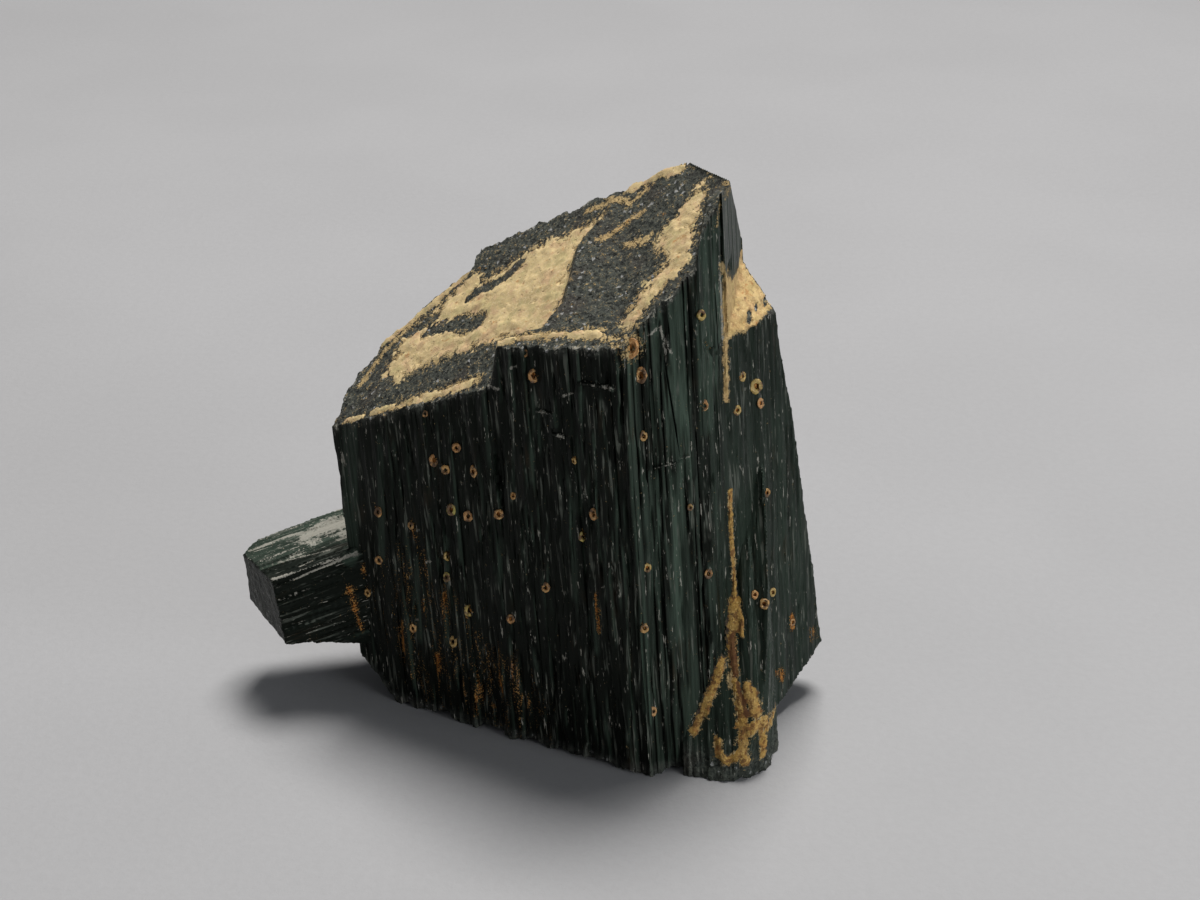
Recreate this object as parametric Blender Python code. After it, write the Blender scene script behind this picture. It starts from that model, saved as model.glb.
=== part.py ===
"""Ilvaite crystal: a stout striated prism with a slanting top, and a side crystal and a stub grown onto it.

Lengths are in millimetres until the finished mesh is scaled.
+Z is up and the crystal stands on its broken base.
Plan positions are measured on the ground from the foot of the front edge: x to the right, y to the back.
"""

import math
import random

import bmesh
import bpy
from mathutils import Euler, Matrix, Vector

MM = 0.001  # metres in a millimetre
SEED = 7

# The c axis of the crystal leans to the left by this angle
AXIS_LEAN = 3.7
PRISM_TOP = 34.0  # height of the uncut prisms
PRISM_BOTTOM = -4.0
BIG = 60.0  # half size of a block that is cut down to a shape
GROUND_POINT = (0.0, 0.0, 0.0)
DOWN = (0.0, 0.0, -1.0)
MERGE_DISTANCE = 0.002  # corners nearer than this are one corner

BLACK_GREEN = (0.014, 0.018, 0.017, 1.0)
SHINE_ROUGHNESS = 0.35

# Main crystal: corners of its outline in plan, counter-clockwise from the front edge
FRONT = (0.0, 0.0)
BROAD_RIGHT = (3.1, 1.45)
NARROW_RIGHT = (4.2, 3.2)
RIGHT_BACK = (5.05, 6.9)
BACK_STEP_OUT = (-5.9, 11.5)
BACK_STEP_IN = (-6.4, 10.6)
BACK_LEFT = (-10.22, 9.9)
LEFT_BACK = (-11.24, 9.16)
LEFT_SIDE = (-11.97, 8.23)
LEFT = (-12.48, 6.89)
FRONT_LEFT = (-10.32, 5.49)
FRONT_BAND = (-0.95, 0.42)

# Growth lines run up the faces as ledges, of this mean width and greatest depth
LEDGE_WIDTH = 0.5
LEDGE_DEPTH = 0.12
LEDGE_SHALLOWNESS = 1.5  # above 1, shallow ledges are commoner than deep ones
FIRST_LEDGE_WIDTHS = (0.5, 1.5)  # smallest and largest, against the mean width
LEDGE_WIDTHS = (0.5, 1.7)
CORNER_MARGIN = 0.6  # no ledge starts nearer to the far corner, against the mean width
RISER_SLOPE = 0.5  # width of a ledge's riser against its height
SMALLEST_RISER = 0.015  # a lower one is left out

# The slanting top is a pyramid face
# It is given by its height over the front edge's foot and by its rise to the right and to the back
TOP_HEIGHT = 20.51
TOP_RISE = (0.75, 0.35)

# A layer left standing on the top, which thins out to the right
# Its outline starts at the step in the front rim
LAYER_HEIGHT = 20.08
LAYER_RISE = (0.41, 0.35)
LAYER_OUTLINE = (
    (-6.45, 0.0), (6.0, -3.0), (6.0, 12.0), (-1.2, 12.0), (-1.9, 8.0),
    (-3.1, 6.9), (-3.7, 3.8), (-4.4, 2.95), (-6.45, 3.2),
)

# The ridge over the narrow right face stands higher than the rest of the top
# Its outline follows the c axis
RIDGE_LIFT = 1.0
RIDGE_OUTLINE = ((2.75, 0.0), (7.0, 2.0), (7.0, 5.0), (4.0, 5.2), (3.4, 3.6))
RIDGE_PEAK = (2.61, 3.2, 24.6)
RIDGE_BACK_NORMAL = (-0.5, 0.25, 1.0)

# A steep pyramid face cuts the corner behind the ridge: a point on it and its outward direction
CORNER_FACE_POINT = (1.52, 7.63, 24.33)
CORNER_FACE_NORMAL = (0.774, 0.459, 0.437)

# The base: where the left end is broken off upwards
LEFT_CHIP_POINT = (-11.0, 6.0, 0.0)
LEFT_CHIP_NORMAL = (-0.7, 0.05, -0.71)

# Side crystal, grown on the right with the same c axis
SIDE_OUTLINE = ((3.4, 2.1), (10.0, 9.97), (6.5, 12.5), (3.9, 6.0))
SIDE_TOP_POINT = (3.47, 3.69, 18.7)
SIDE_TOP_NORMAL = (0.56, -0.47, 0.74)
SIDE_RIGHT_POINT = (5.23, 5.69, 17.4)
SIDE_RIGHT_NORMAL = (0.79, 0.56, 0.19)
SIDE_BACK_POINT = (6.5, 8.3, 0.0)
SIDE_BACK_NORMAL = (0.2, 0.98, 0.0)
SIDE_CHIP_POINT = (5.27, 4.39, 0.2)
SIDE_CHIP_NORMAL = (0.42, 0.25, -0.87)

# Foot: a short wedge of crystal at the bottom right, in front of the groove
FOOT_OUTLINE = (
    (1.4, 0.0), (2.2, -0.3), (4.1, -0.1), (5.0, 0.8), (5.4, 2.4), (5.4, 4.4), (4.0, 5.5), (1.4, 2.5),
)
FOOT_TOP_POINT = (2.97, 1.75, 4.9)
FOOT_TOP_NORMAL = (-0.27, -0.89, 0.37)

# Stub: a short crystal sticking out of the left end
STUB_CORNER = (-16.0, 5.35, 6.3)  # front upper corner of its free end
STUB_AZIMUTH = 197.5  # direction its free end points to
STUB_DIP = 13.3
STUB_LENGTH = 5.5  # from the corner to the end inside the main crystal
STUB_OVERLENGTH = 3.0  # grown past the corner, for its end faces to be cut from
STUB_SECTION = ((0.0, 0.0), (-0.1, -5.0), (3.6, -5.0), (4.3, -2.2), (4.1, 0.05), (2.0, 0.1))
STUB_BOTTOM_POINT = (-12.4, 6.5, 2.7)
STUB_BOTTOM_NORMAL = (-0.19, 0.0, -0.98)
STUB_END_AZIMUTH = 211.0
STUB_END_RISE = -6.0
STUB_BACK_CORNER = (-1.66, 2.77, 0.2)  # back upper corner of the free end, from the front one
STUB_CORNER_CUT_AZIMUTH = 154.0
STUB_CHIN = (-0.9, 0.6, -2.3)  # a point on the slanting lower end face, from the front upper corner
STUB_CHIN_AZIMUTH = 200.0
STUB_CHIN_RISE = -50.0


def slope_plane(height, rise):
    """A point on a slanting plane and its upward direction."""
    return Vector((0.0, 0.0, height)), Vector((-rise[0], -rise[1], 1.0))


def facing(azimuth, rise=0.0):
    """A unit direction from its azimuth, counter-clockwise from +X, and its rise above level."""
    turn, lift = math.radians(azimuth), math.radians(rise)
    return Vector((math.cos(lift) * math.cos(turn), math.cos(lift) * math.sin(turn), math.sin(lift)))


def ledged_side(start, end, rng):
    """Outline points from one corner up to the next, with ledges cut into the side between them."""
    start, along = Vector(start), Vector(end) - Vector(start)
    inward = Vector((-along.y, along.x)).normalized()
    forward = along.normalized()
    points = [start]
    level = 0.0
    travelled = LEDGE_WIDTH * rng.uniform(*FIRST_LEDGE_WIDTHS)
    while travelled < along.length - LEDGE_WIDTH * CORNER_MARGIN:
        next_level = LEDGE_DEPTH * rng.random() ** LEDGE_SHALLOWNESS
        riser = forward * abs(next_level - level) * RISER_SLOPE
        here = start + forward * travelled
        if abs(next_level - level) > SMALLEST_RISER:
            points += [here + inward * level, here + riser + inward * next_level]
            level = next_level
        travelled += LEDGE_WIDTH * rng.uniform(*LEDGE_WIDTHS)
    return points


def ledged_outline(corners, rng):
    """The whole outline with ledges on every side longer than two ledges."""
    points = []
    for start, end in zip(corners, corners[1:] + corners[:1]):
        side = Vector(end) - Vector(start)
        points += ledged_side(start, end, rng) if side.length > 2 * LEDGE_WIDTH else [Vector(start)]
    return points


def push(bm, end, offset):
    """Pull a face's copy away from it, with walls in between."""
    pulled = bmesh.ops.extrude_face_region(bm, geom=[end])["geom"]
    moved = [part for part in pulled if isinstance(part, bmesh.types.BMVert)]
    bmesh.ops.translate(bm, vec=offset, verts=moved)


def prism(outline, bottom=PRISM_BOTTOM, top=PRISM_TOP, lean=AXIS_LEAN):
    """A closed prism over a plan outline, leaning to the left about its plan on the ground."""
    bm = bmesh.new()
    ring = [bm.verts.new((x, y, bottom)) for x, y in outline]
    push(bm, bm.faces.new(ring), (0.0, 0.0, top - bottom))
    shear = Matrix.Identity(4)
    shear[0][2] = -math.tan(math.radians(lean))
    bmesh.ops.transform(bm, matrix=shear, verts=bm.verts)
    bmesh.ops.recalc_face_normals(bm, faces=bm.faces)
    return bm


def block():
    """A big cube to be cut down."""
    bm = bmesh.new()
    bmesh.ops.create_cube(bm, size=2 * BIG)
    return bm


def cut(bm, point, normal):
    """Take away what lies on the side of a plane that its normal points to, and close the cut."""
    geom = bm.verts[:] + bm.edges[:] + bm.faces[:]
    bmesh.ops.bisect_plane(bm, geom=geom, plane_co=point, plane_no=normal, clear_outer=True)
    bmesh.ops.holes_fill(bm, edges=[edge for edge in bm.edges if edge.is_boundary], sides=0)
    bmesh.ops.recalc_face_normals(bm, faces=bm.faces)


def helper(name, bm):
    """Turn a bmesh into an object that only takes part in Booleans."""
    mesh = bpy.data.meshes.new(name)
    bm.to_mesh(mesh)
    bm.free()
    obj = bpy.data.objects.new(name, mesh)
    bpy.context.collection.objects.link(obj)
    obj.hide_render = True
    obj.display_type = "WIRE"
    return obj


def add_boolean(obj, operation, other):
    """Join another object to this one, or take it away."""
    modifier = obj.modifiers.new(other.name, "BOOLEAN")
    modifier.operation = operation
    modifier.object = other


def top_cutter():
    """Everything above the slanting top, apart from the layer and the ridge that stand on it."""
    point, normal = slope_plane(TOP_HEIGHT, TOP_RISE)
    above = block()
    cut(above, point, -normal)
    layer = prism(LAYER_OUTLINE, lean=0.0)
    cut(layer, *slope_plane(LAYER_HEIGHT, LAYER_RISE))
    ridge = prism(RIDGE_OUTLINE)
    cut(ridge, *slope_plane(TOP_HEIGHT + RIDGE_LIFT, TOP_RISE))
    cut(ridge, RIDGE_PEAK, RIDGE_BACK_NORMAL)
    cutter = helper("above_the_top", above)
    add_boolean(cutter, "DIFFERENCE", helper("raised_layer", layer))
    add_boolean(cutter, "DIFFERENCE", helper("ridge", ridge))
    return cutter


def main_prism(rng):
    """The main crystal's striated prism, with its base and hidden corner cut but its top still long."""
    corners = [FRONT, BROAD_RIGHT, NARROW_RIGHT, RIGHT_BACK, BACK_STEP_OUT, BACK_STEP_IN]
    corners += [BACK_LEFT, LEFT_BACK, LEFT_SIDE, LEFT, FRONT_LEFT, FRONT_BAND]
    bm = prism(ledged_outline(corners, rng))
    cut(bm, CORNER_FACE_POINT, CORNER_FACE_NORMAL)
    cut(bm, LEFT_CHIP_POINT, LEFT_CHIP_NORMAL)
    cut(bm, GROUND_POINT, DOWN)
    return bm


def side_crystal(rng):
    """The smaller crystal grown on the right, wider at its foot than at its sloping top."""
    bm = prism(ledged_outline(list(SIDE_OUTLINE), rng))
    cut(bm, SIDE_TOP_POINT, SIDE_TOP_NORMAL)
    cut(bm, SIDE_RIGHT_POINT, SIDE_RIGHT_NORMAL)
    cut(bm, SIDE_BACK_POINT, SIDE_BACK_NORMAL)
    cut(bm, SIDE_CHIP_POINT, SIDE_CHIP_NORMAL)
    cut(bm, GROUND_POINT, DOWN)
    return bm


def foot():
    """The wedge at the bottom right."""
    bm = prism(FOOT_OUTLINE)
    cut(bm, FOOT_TOP_POINT, FOOT_TOP_NORMAL)
    cut(bm, GROUND_POINT, DOWN)
    return bm


def stub():
    """The short crystal on the left.

    Its section is drawn back and up from its front upper edge and pushed along its axis.
    """
    bm = bmesh.new()
    ring = [bm.verts.new((-STUB_LENGTH, -back, up)) for back, up in STUB_SECTION]
    push(bm, bm.faces.new(ring), (STUB_LENGTH + STUB_OVERLENGTH, 0.0, 0.0))
    turn = Euler((0.0, math.radians(STUB_DIP), math.radians(STUB_AZIMUTH))).to_matrix().to_4x4()
    bmesh.ops.transform(bm, matrix=Matrix.Translation(STUB_CORNER) @ turn, verts=bm.verts)
    bmesh.ops.recalc_face_normals(bm, faces=bm.faces)
    corner = Vector(STUB_CORNER)
    cut(bm, corner, facing(STUB_END_AZIMUTH, STUB_END_RISE))
    cut(bm, corner + Vector(STUB_BACK_CORNER), facing(STUB_CORNER_CUT_AZIMUTH))
    cut(bm, corner + Vector(STUB_CHIN), facing(STUB_CHIN_AZIMUTH, STUB_CHIN_RISE))
    cut(bm, STUB_BOTTOM_POINT, STUB_BOTTOM_NORMAL)
    return bm


def crystal_material():
    """Black, slightly greenish, with a dull shine."""
    material = bpy.data.materials.new("ilvaite")
    material.use_nodes = True
    shader = material.node_tree.nodes["Principled BSDF"]
    shader.inputs["Base Color"].default_value = BLACK_GREEN
    shader.inputs["Roughness"].default_value = SHINE_ROUGHNESS
    return material


def finished_mesh(obj, name):
    """The object's mesh with its Booleans carried out, in metres, standing centred on the origin."""
    evaluated = obj.evaluated_get(bpy.context.evaluated_depsgraph_get())
    bm = bmesh.new()
    bm.from_mesh(evaluated.to_mesh())
    bmesh.ops.remove_doubles(bm, verts=bm.verts, dist=MERGE_DISTANCE)
    bmesh.ops.dissolve_degenerate(bm, edges=bm.edges, dist=MERGE_DISTANCE)
    bmesh.ops.triangulate(bm, faces=bm.faces)
    low = Vector([min(v.co[axis] for v in bm.verts) for axis in range(3)])
    high = Vector([max(v.co[axis] for v in bm.verts) for axis in range(3)])
    centre = Vector(((low.x + high.x) / 2, (low.y + high.y) / 2, low.z))
    bmesh.ops.translate(bm, vec=-centre, verts=bm.verts)
    bmesh.ops.scale(bm, vec=(MM, MM, MM), verts=bm.verts)
    mesh = bpy.data.meshes.new(name)
    bm.to_mesh(mesh)
    bm.free()
    return mesh


def build():
    """Model the crystal and leave it as the only visible object."""
    for old in list(bpy.data.objects):
        bpy.data.objects.remove(old)
    rng = random.Random(SEED)
    grown = helper("main_prism", main_prism(rng))
    add_boolean(grown, "DIFFERENCE", top_cutter())
    add_boolean(grown, "UNION", helper("side_crystal", side_crystal(rng)))
    add_boolean(grown, "UNION", helper("foot", foot()))
    add_boolean(grown, "UNION", helper("stub", stub()))
    crystal = bpy.data.objects.new("ilvaite_crystal", finished_mesh(grown, "ilvaite_crystal"))
    bpy.context.collection.objects.link(crystal)
    crystal.data.materials.append(crystal_material())
    for other in list(bpy.data.objects):
        if other is not crystal:
            bpy.data.objects.remove(other)


build()
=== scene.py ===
"""Ilvaite crystal: striated black prisms with a rough slanting top, clay crusts and limonite rings.

Shapes are modelled in millimetres from the foot of the front edge: x to the right, y to the back, z up.
A finished piece is then set into the frame, in metres.
"""

import math
import random

import bpy
import numpy as np
from mathutils import Euler, Matrix, Vector, noise
from mathutils.bvhtree import BVHTree


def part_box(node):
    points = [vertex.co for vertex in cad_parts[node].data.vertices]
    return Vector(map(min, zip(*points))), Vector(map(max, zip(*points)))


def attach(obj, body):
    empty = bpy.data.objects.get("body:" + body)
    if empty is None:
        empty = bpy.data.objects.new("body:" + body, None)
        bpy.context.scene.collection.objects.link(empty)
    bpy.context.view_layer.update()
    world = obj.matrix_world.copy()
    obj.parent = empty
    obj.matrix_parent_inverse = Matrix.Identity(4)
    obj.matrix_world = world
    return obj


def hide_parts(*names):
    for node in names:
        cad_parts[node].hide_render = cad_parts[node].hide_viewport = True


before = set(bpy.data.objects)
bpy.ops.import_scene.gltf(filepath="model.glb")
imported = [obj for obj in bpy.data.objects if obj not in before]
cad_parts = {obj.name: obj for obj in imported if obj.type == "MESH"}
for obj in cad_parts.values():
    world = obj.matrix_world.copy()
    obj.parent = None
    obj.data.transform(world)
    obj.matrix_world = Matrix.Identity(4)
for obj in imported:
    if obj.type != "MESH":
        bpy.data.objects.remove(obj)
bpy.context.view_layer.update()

bl_info = {
    "name": "Ilvaite crystal",
    "version": (1, 0, 0),
    "blender": (4, 5, 0),
    "location": "3D View > Sidebar > Ilvaite",
    "description": "A striated black crystal with smaller ones on it, clay crusts and limonite rings",
    "category": "Object",
}

MM = 0.001  # metres in a millimetre
SEED = 11
CAD_NODE = "ilvaite_crystal"
BODY = "root"
FACES_MATERIAL = "ilvaite_faces"

# The front edge's foot, from the left end and the front of the crystal's box
FOOT_FROM_LEFT = 17.656
FOOT_FROM_FRONT = 0.2365
BOX_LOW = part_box(CAD_NODE)[0]
FOOT_PLACE = Vector((BOX_LOW.x + FOOT_FROM_LEFT * MM, BOX_LOW.y + FOOT_FROM_FRONT * MM, BOX_LOW.z))

# The c axis of the crystals leans to the left by this angle
AXIS_LEAN = math.radians(3.7)
LEAN = math.tan(AXIS_LEAN)
AXIS_TURN = (0.0, -AXIS_LEAN, 0.0)
UNTURNED = (0.0, 0.0, 0.0)

# Main crystal: corners of its outline on the ground, counter-clockwise from the front edge
MAIN_CORNERS = (
    (0.0, 0.0), (3.1, 1.45), (4.2, 3.2), (5.05, 6.9), (-5.9, 11.5), (-6.4, 10.6),
    (-10.22, 9.9), (-11.24, 9.16), (-11.97, 8.23), (-12.48, 6.89), (-10.32, 5.49), (-0.95, 0.42),
)
# Ledges placed on the right front side, as (distance from its left corner, depth from 0 to 1)
RIGHT_FACE_LEDGES = (
    (0.0, 0.25), (0.14, 0.0), (0.30, 0.9), (0.42, 0.25), (0.66, 0.75), (0.75, 0.3), (1.02, 1.0),
    (1.12, 0.7), (1.22, 0.0), (1.55, 1.1), (1.63, 0.1), (2.66, 1.2), (2.78, 0.45), (2.90, 1.5), (3.02, 0.6),
)
SMOOTH_FACE_LEDGES = ((0.0, 0.2), (1.7, 0.35))
PLACED_LEDGES = {0: RIGHT_FACE_LEDGES, 2: SMOOTH_FACE_LEDGES}
MAIN_BOTTOM = -1.0
MAIN_TOP = 26.5
LEVEL_WITHIN = 0.001  # an edge whose ends differ less in height runs level

# Ledges of the other sides: distances in millimetres, depths from 0 to 1
CORNER_LEDGE_DEPTH = 0.3
FIRST_LEDGE = (0.1, 0.4)  # least and greatest distance from the side's left corner
LEDGE_STEP = 0.12  # least distance from one ledge to the next
LEDGE_SPREAD = 1.3  # the greatest distance is larger by this
LEDGE_NEARNESS = 2  # above 1, near ledges are commoner than far ones
LEDGE_SHALLOWNESS = 1.4  # above 1, shallow ledges are commoner than deep ones
LEDGE_OVERLAP = 0.6  # in line widths, how far a ledge starts back over the last line
LINE_WIDTHS = (0.85, 1.15)  # least and greatest width of a growth line, against the set one
LINE_DEPTHS = (0.0, 0.12)  # least and greatest depth of a growth line, against a ledge's

# The slanting top: height over the front edge's foot, and its rise to the right and to the back
TOP_HEIGHT = 20.51
TOP_RISE = (0.75, 0.35)
TOP_SPAN = ((-14.8, 5.6), (-1.1, 12.5))  # plan area that the top surface is made over

# A layer left standing on the top, thinning out to the right; the riser round it is this wide
LAYER_HEIGHT = 20.08
LAYER_RISE = (0.41, 0.35)
LAYER_OUTLINE = (
    (-6.35, 0.0), (6.0, -3.0), (6.0, 12.0), (-1.2, 12.0), (-1.9, 8.0),
    (-3.1, 6.9), (-3.7, 3.8), (-4.4, 2.95), (-6.35, 3.2),
)
LAYER_RISER = 0.35
RISER_REACH = (-0.3, 0.7)  # from outside the outline to inside it, in widths of the riser

# The ridge over the narrow right face. Its back and the steep face behind it are flat, each given by
# a point on it and the direction it faces
RIDGE_LIFT = 1.0
RIDGE_OUTLINE = ((2.75, 0.0), (7.0, 2.0), (7.0, 5.0), (4.0, 5.2), (3.4, 3.6))
RIDGE_RISER = 0.2
RIDGE_PEAK = (2.61, 3.2, 24.6)
RIDGE_BACK = (-0.5, 0.25, 1.0)
CORNER_POINT = (1.52, 7.63, 24.33)
CORNER_FACE = (0.774, 0.459, 0.437)
CORNER_FACE_REACH = (0.5, 0.1)  # a point belongs to the steep face if it lies this near to it

# The chip at the left end of the broken base
CHIP_POINT = (-11.0, 6.0, 0.0)
CHIP_FACE = (-0.7, 0.05, -0.71)

# The small crystals are cut to shape: each cut is a point on the face that it leaves, and the
# direction that the face looks in
GROUND_CUT = ((0.0, 0.0, 0.0), (0.0, 0.0, -1.0))

# Side crystal, grown on the right with the same c axis
SIDE_CORNERS = ((3.4, 2.1), (10.0, 9.97), (6.5, 12.5), (3.9, 6.0))
SIDE_CUTS = (
    ((3.47, 3.69, 18.7), (0.56, -0.47, 0.74)),
    ((5.23, 5.69, 17.4), (0.79, 0.56, 0.19)),
    ((6.5, 8.3, 0.0), (0.2, 0.98, 0.0)),
    ((5.27, 4.39, 0.2), (0.42, 0.25, -0.87)),
    GROUND_CUT,
)
SIDE_SKIN = 0.09  # grid of its surface
SIDE_RELIEF = 0.7  # height of its laths against the main crystal's

# Foot: a short wedge of crystal at the bottom right
FOOT_CORNERS = (
    (1.4, 0.0), (2.2, -0.3), (4.1, -0.1), (5.0, 0.8), (5.4, 2.4), (5.4, 4.4), (4.0, 5.5), (1.4, 2.5),
)
FOOT_CUTS = (((2.97, 1.75, 4.9), (-0.27, -0.89, 0.37)), GROUND_CUT)
FOOT_TURN = (math.radians(-22.4), -AXIS_LEAN, 0.0)  # its lines run up its sloping front
FOOT_SKIN = 0.07
FOOT_RELIEF = 0.8
FOOT_ROUGH_BELOW = (1.6, 0.5)  # its front is rough near the ground

# Stub: a short crystal sticking out of the left end, from the front upper corner of its free end
STUB_CORNER = (-16.0, 5.35, 6.3)
STUB_AZIMUTH = math.radians(197.5)
STUB_DIP = math.radians(13.3)
STUB_LENGTH = 5.5
STUB_OVERLENGTH = 3.0  # grown past the corner, for its end faces to be cut from
STUB_SECTION = ((0.0, 0.0), (-0.1, -5.0), (3.6, -5.0), (4.3, -2.2), (4.1, 0.05), (2.0, 0.1))
STUB_CUTS = (
    ((-16.0, 5.46, 6.2), (0.057, -0.72, 0.69)),
    ((-16.0, 5.35, 6.3), (-0.852, -0.512, -0.105)),
    ((-17.66, 8.12, 6.5), (-0.899, 0.438, 0.0)),
    ((-16.9, 5.95, 4.0), (-0.604, -0.22, -0.766)),
    ((-12.4, 6.5, 2.7), (-0.19, 0.0, -0.98)),
)
STUB_SKIN = 0.07
STUB_RELIEF = 0.9
STUB_END_RELIEF = 0.4  # grain of its ends against that of the top

# Each layer of relief is a noise: its height as a share of the relief, the size of its grains in
# millimetres, how far they are drawn out, and the stops (position, value) of a ramp that sharpens them
STRIATION = (
    {"name": "waves", "share": 0.9, "size": 2.2, "drawn": 5.0, "depth": 1},
    {"name": "terraces", "share": 1.1, "size": 0.95, "drawn": 13.0, "depth": 1,
     "stops": ((0.43, 0.0), (0.46, 0.5), (0.54, 0.5), (0.57, 1.0))},
    {"name": "laths", "share": 1.0, "size": 0.42, "drawn": 16.0, "depth": 1,
     "stops": ((0.40, 0.0), (0.45, 0.5), (0.55, 0.5), (0.60, 1.0))},
    {"name": "lines", "share": 0.4, "size": 0.16, "drawn": 26.0, "depth": 0,
     "stops": ((0.42, 0.0), (0.52, 1.0))},
)
BARK = (
    {"name": "dashes", "share": 0.9, "size": 0.26, "drawn": 11.0, "depth": 2,
     "stops": ((0.36, 0.0), (0.46, 0.6), (0.60, 1.0))},
    {"name": "pits", "share": 1.3, "size": 0.34, "drawn": 8.0, "depth": 1, "middle": 1.0,
     "stops": ((0.26, 0.0), (0.36, 1.0))},
)
STREAK_TURN = (0.0, math.radians(90.0), math.radians(-27.0))
FRACTURE = (
    {"name": "swells", "share": 1.8, "size": 1.8},
    {"name": "streaks", "share": 0.8, "size": 0.3, "drawn": 5.0, "depth": 1, "turn": STREAK_TURN},
    {"name": "grains", "share": 0.8, "size": 0.45, "kind": "VORONOI"},
    {"name": "pits", "share": 0.7, "size": 0.2, "hard": True},
)
TORN = {"name": "torn", "size": 0.8, "depth": 3, "middle": 0.0, "stops": ((0.35, 0.0), (0.75, 1.0))}
TORN_HEIGHT = 0.35
LUMPS = {"name": "lumps", "share": 0.22, "size": 0.13}
SMOOTH_ANGLE = math.radians(28.0)  # sharper edges stay sharp


# ---------------------------------------------------------------- user settings


class IlvaiteShape(bpy.types.PropertyGroup):
    """Sizes of the growth lines and of the rough top."""

    line_width: bpy.props.FloatProperty(
        name="Line width", description="Width of one column of the striated sides",
        default=0.065 * MM, min=0.03 * MM, unit="LENGTH", precision=5)
    row_height: bpy.props.FloatProperty(
        name="Row height", description="Height of one row of the striated sides",
        default=0.33 * MM, min=0.1 * MM, unit="LENGTH", precision=5)
    ledge_depth: bpy.props.FloatProperty(
        name="Ledge depth", description="Greatest depth of a growth ledge",
        default=0.1 * MM, min=0.0, unit="LENGTH", precision=5)
    lath_relief: bpy.props.FloatProperty(
        name="Lath relief", description="Height of the long pointed laths on the sides",
        default=0.09 * MM, min=0.0, unit="LENGTH", precision=5)
    top_grid: bpy.props.FloatProperty(
        name="Top grid", description="Distance between points on the rough top and base",
        default=0.07 * MM, min=0.04 * MM, unit="LENGTH", precision=5)
    top_relief: bpy.props.FloatProperty(
        name="Top relief", description="Height of the grains on the rough top",
        default=0.11 * MM, min=0.0, unit="LENGTH", precision=5)


class IlvaiteCrust(bpy.types.PropertyGroup):
    """Sizes of the clay and the limonite."""

    thickness: bpy.props.FloatProperty(
        name="Clay thickness", description="Thickness of the clay where it lies deepest",
        default=0.075 * MM, min=0.0, unit="LENGTH", precision=5)
    grid: bpy.props.FloatProperty(
        name="Clay grid", description="Distance between points on the clay",
        default=0.06 * MM, min=0.04 * MM, unit="LENGTH", precision=5)
    ring_diameter: bpy.props.FloatProperty(
        name="Ring diameter", description="Diameter of an ordinary limonite ring",
        default=0.48 * MM, min=0.1 * MM, unit="LENGTH", precision=5)


class IlvaiteColours(bpy.types.PropertyGroup):
    """Colours of the minerals and of the stage."""

    ilvaite: bpy.props.FloatVectorProperty(
        name="Ilvaite", description="Black, slightly green body colour of the crystal faces",
        default=(0.0032, 0.0038, 0.0028), size=3, min=0.0, max=1.0, subtype="COLOR")
    # Painted sheen: the lighter faces are painted towards this greenish grey in place of their reflection
    painted_sheen: bpy.props.FloatVectorProperty(
        name="Sheen", description="Greenish grey film on the lighter faces",
        default=(0.054, 0.080, 0.060), size=3, min=0.0, max=1.0, subtype="COLOR")
    fracture: bpy.props.FloatVectorProperty(
        name="Fracture", description="Grey of the rough top",
        default=(0.098, 0.104, 0.088), size=3, min=0.0, max=1.0, subtype="COLOR")
    clay: bpy.props.FloatVectorProperty(
        name="Clay", description="Yellow-tan of the dry clay",
        default=(0.67, 0.515, 0.26), size=3, min=0.0, max=1.0, subtype="COLOR")
    rust: bpy.props.FloatVectorProperty(
        name="Rust", description="Orange-brown of the limonite stains",
        default=(0.50, 0.17, 0.030), size=3, min=0.0, max=1.0, subtype="COLOR")
    floor: bpy.props.FloatVectorProperty(
        name="Floor", description="Pale grey of the floor",
        default=(0.36, 0.36, 0.37), size=3, min=0.0, max=1.0, subtype="COLOR")


# ---------------------------------------------------------------- modelling helpers


def deselect():
    """Leave edit mode and select nothing."""
    if bpy.context.object and bpy.context.object.mode != "OBJECT":
        bpy.ops.object.mode_set(mode="OBJECT")
    bpy.ops.object.select_all(action="DESELECT")


def pick(piece):
    """Make one object the selected and active one."""
    deselect()
    piece.select_set(True)
    bpy.context.view_layer.objects.active = piece


def edit_all(piece):
    """Enter edit mode with the whole piece selected."""
    pick(piece)
    bpy.ops.object.mode_set(mode="EDIT")
    bpy.ops.mesh.select_all(action="SELECT")


def modify(piece, kind, **settings):
    """Add a modifier and apply it."""
    pick(piece)
    modifier = piece.modifiers.new(kind.lower(), kind)
    for name, value in settings.items():
        setattr(modifier, name, value)
    bpy.ops.object.modifier_apply(modifier=modifier.name)


def remove(piece):
    """Delete a helper object."""
    bpy.data.objects.remove(piece)


def points_of(piece):
    """The piece's points, one row each."""
    flat = np.zeros(len(piece.data.vertices) * 3)
    piece.data.vertices.foreach_get("co", flat)
    return flat.reshape(-1, 3)


def set_points(piece, points):
    """Move the piece's points."""
    piece.data.vertices.foreach_set("co", np.asarray(points, float).ravel())
    piece.data.update()


def normals_of(piece):
    """The outward direction at each point."""
    flat = np.zeros(len(piece.data.vertices) * 3)
    piece.data.vertex_normals.foreach_get("vector", flat)
    return flat.reshape(-1, 3)


def random_ledges(length, rng):
    """Ledges along a side, as (where it starts, how deep it lies from 0 to 1)."""
    ledges = [(0.0, CORNER_LEDGE_DEPTH)]
    travelled = rng.uniform(*FIRST_LEDGE)
    while travelled < length:
        ledges.append((travelled, rng.random() ** LEDGE_SHALLOWNESS))
        travelled += LEDGE_STEP + rng.random() ** LEDGE_NEARNESS * LEDGE_SPREAD
    return ledges


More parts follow.
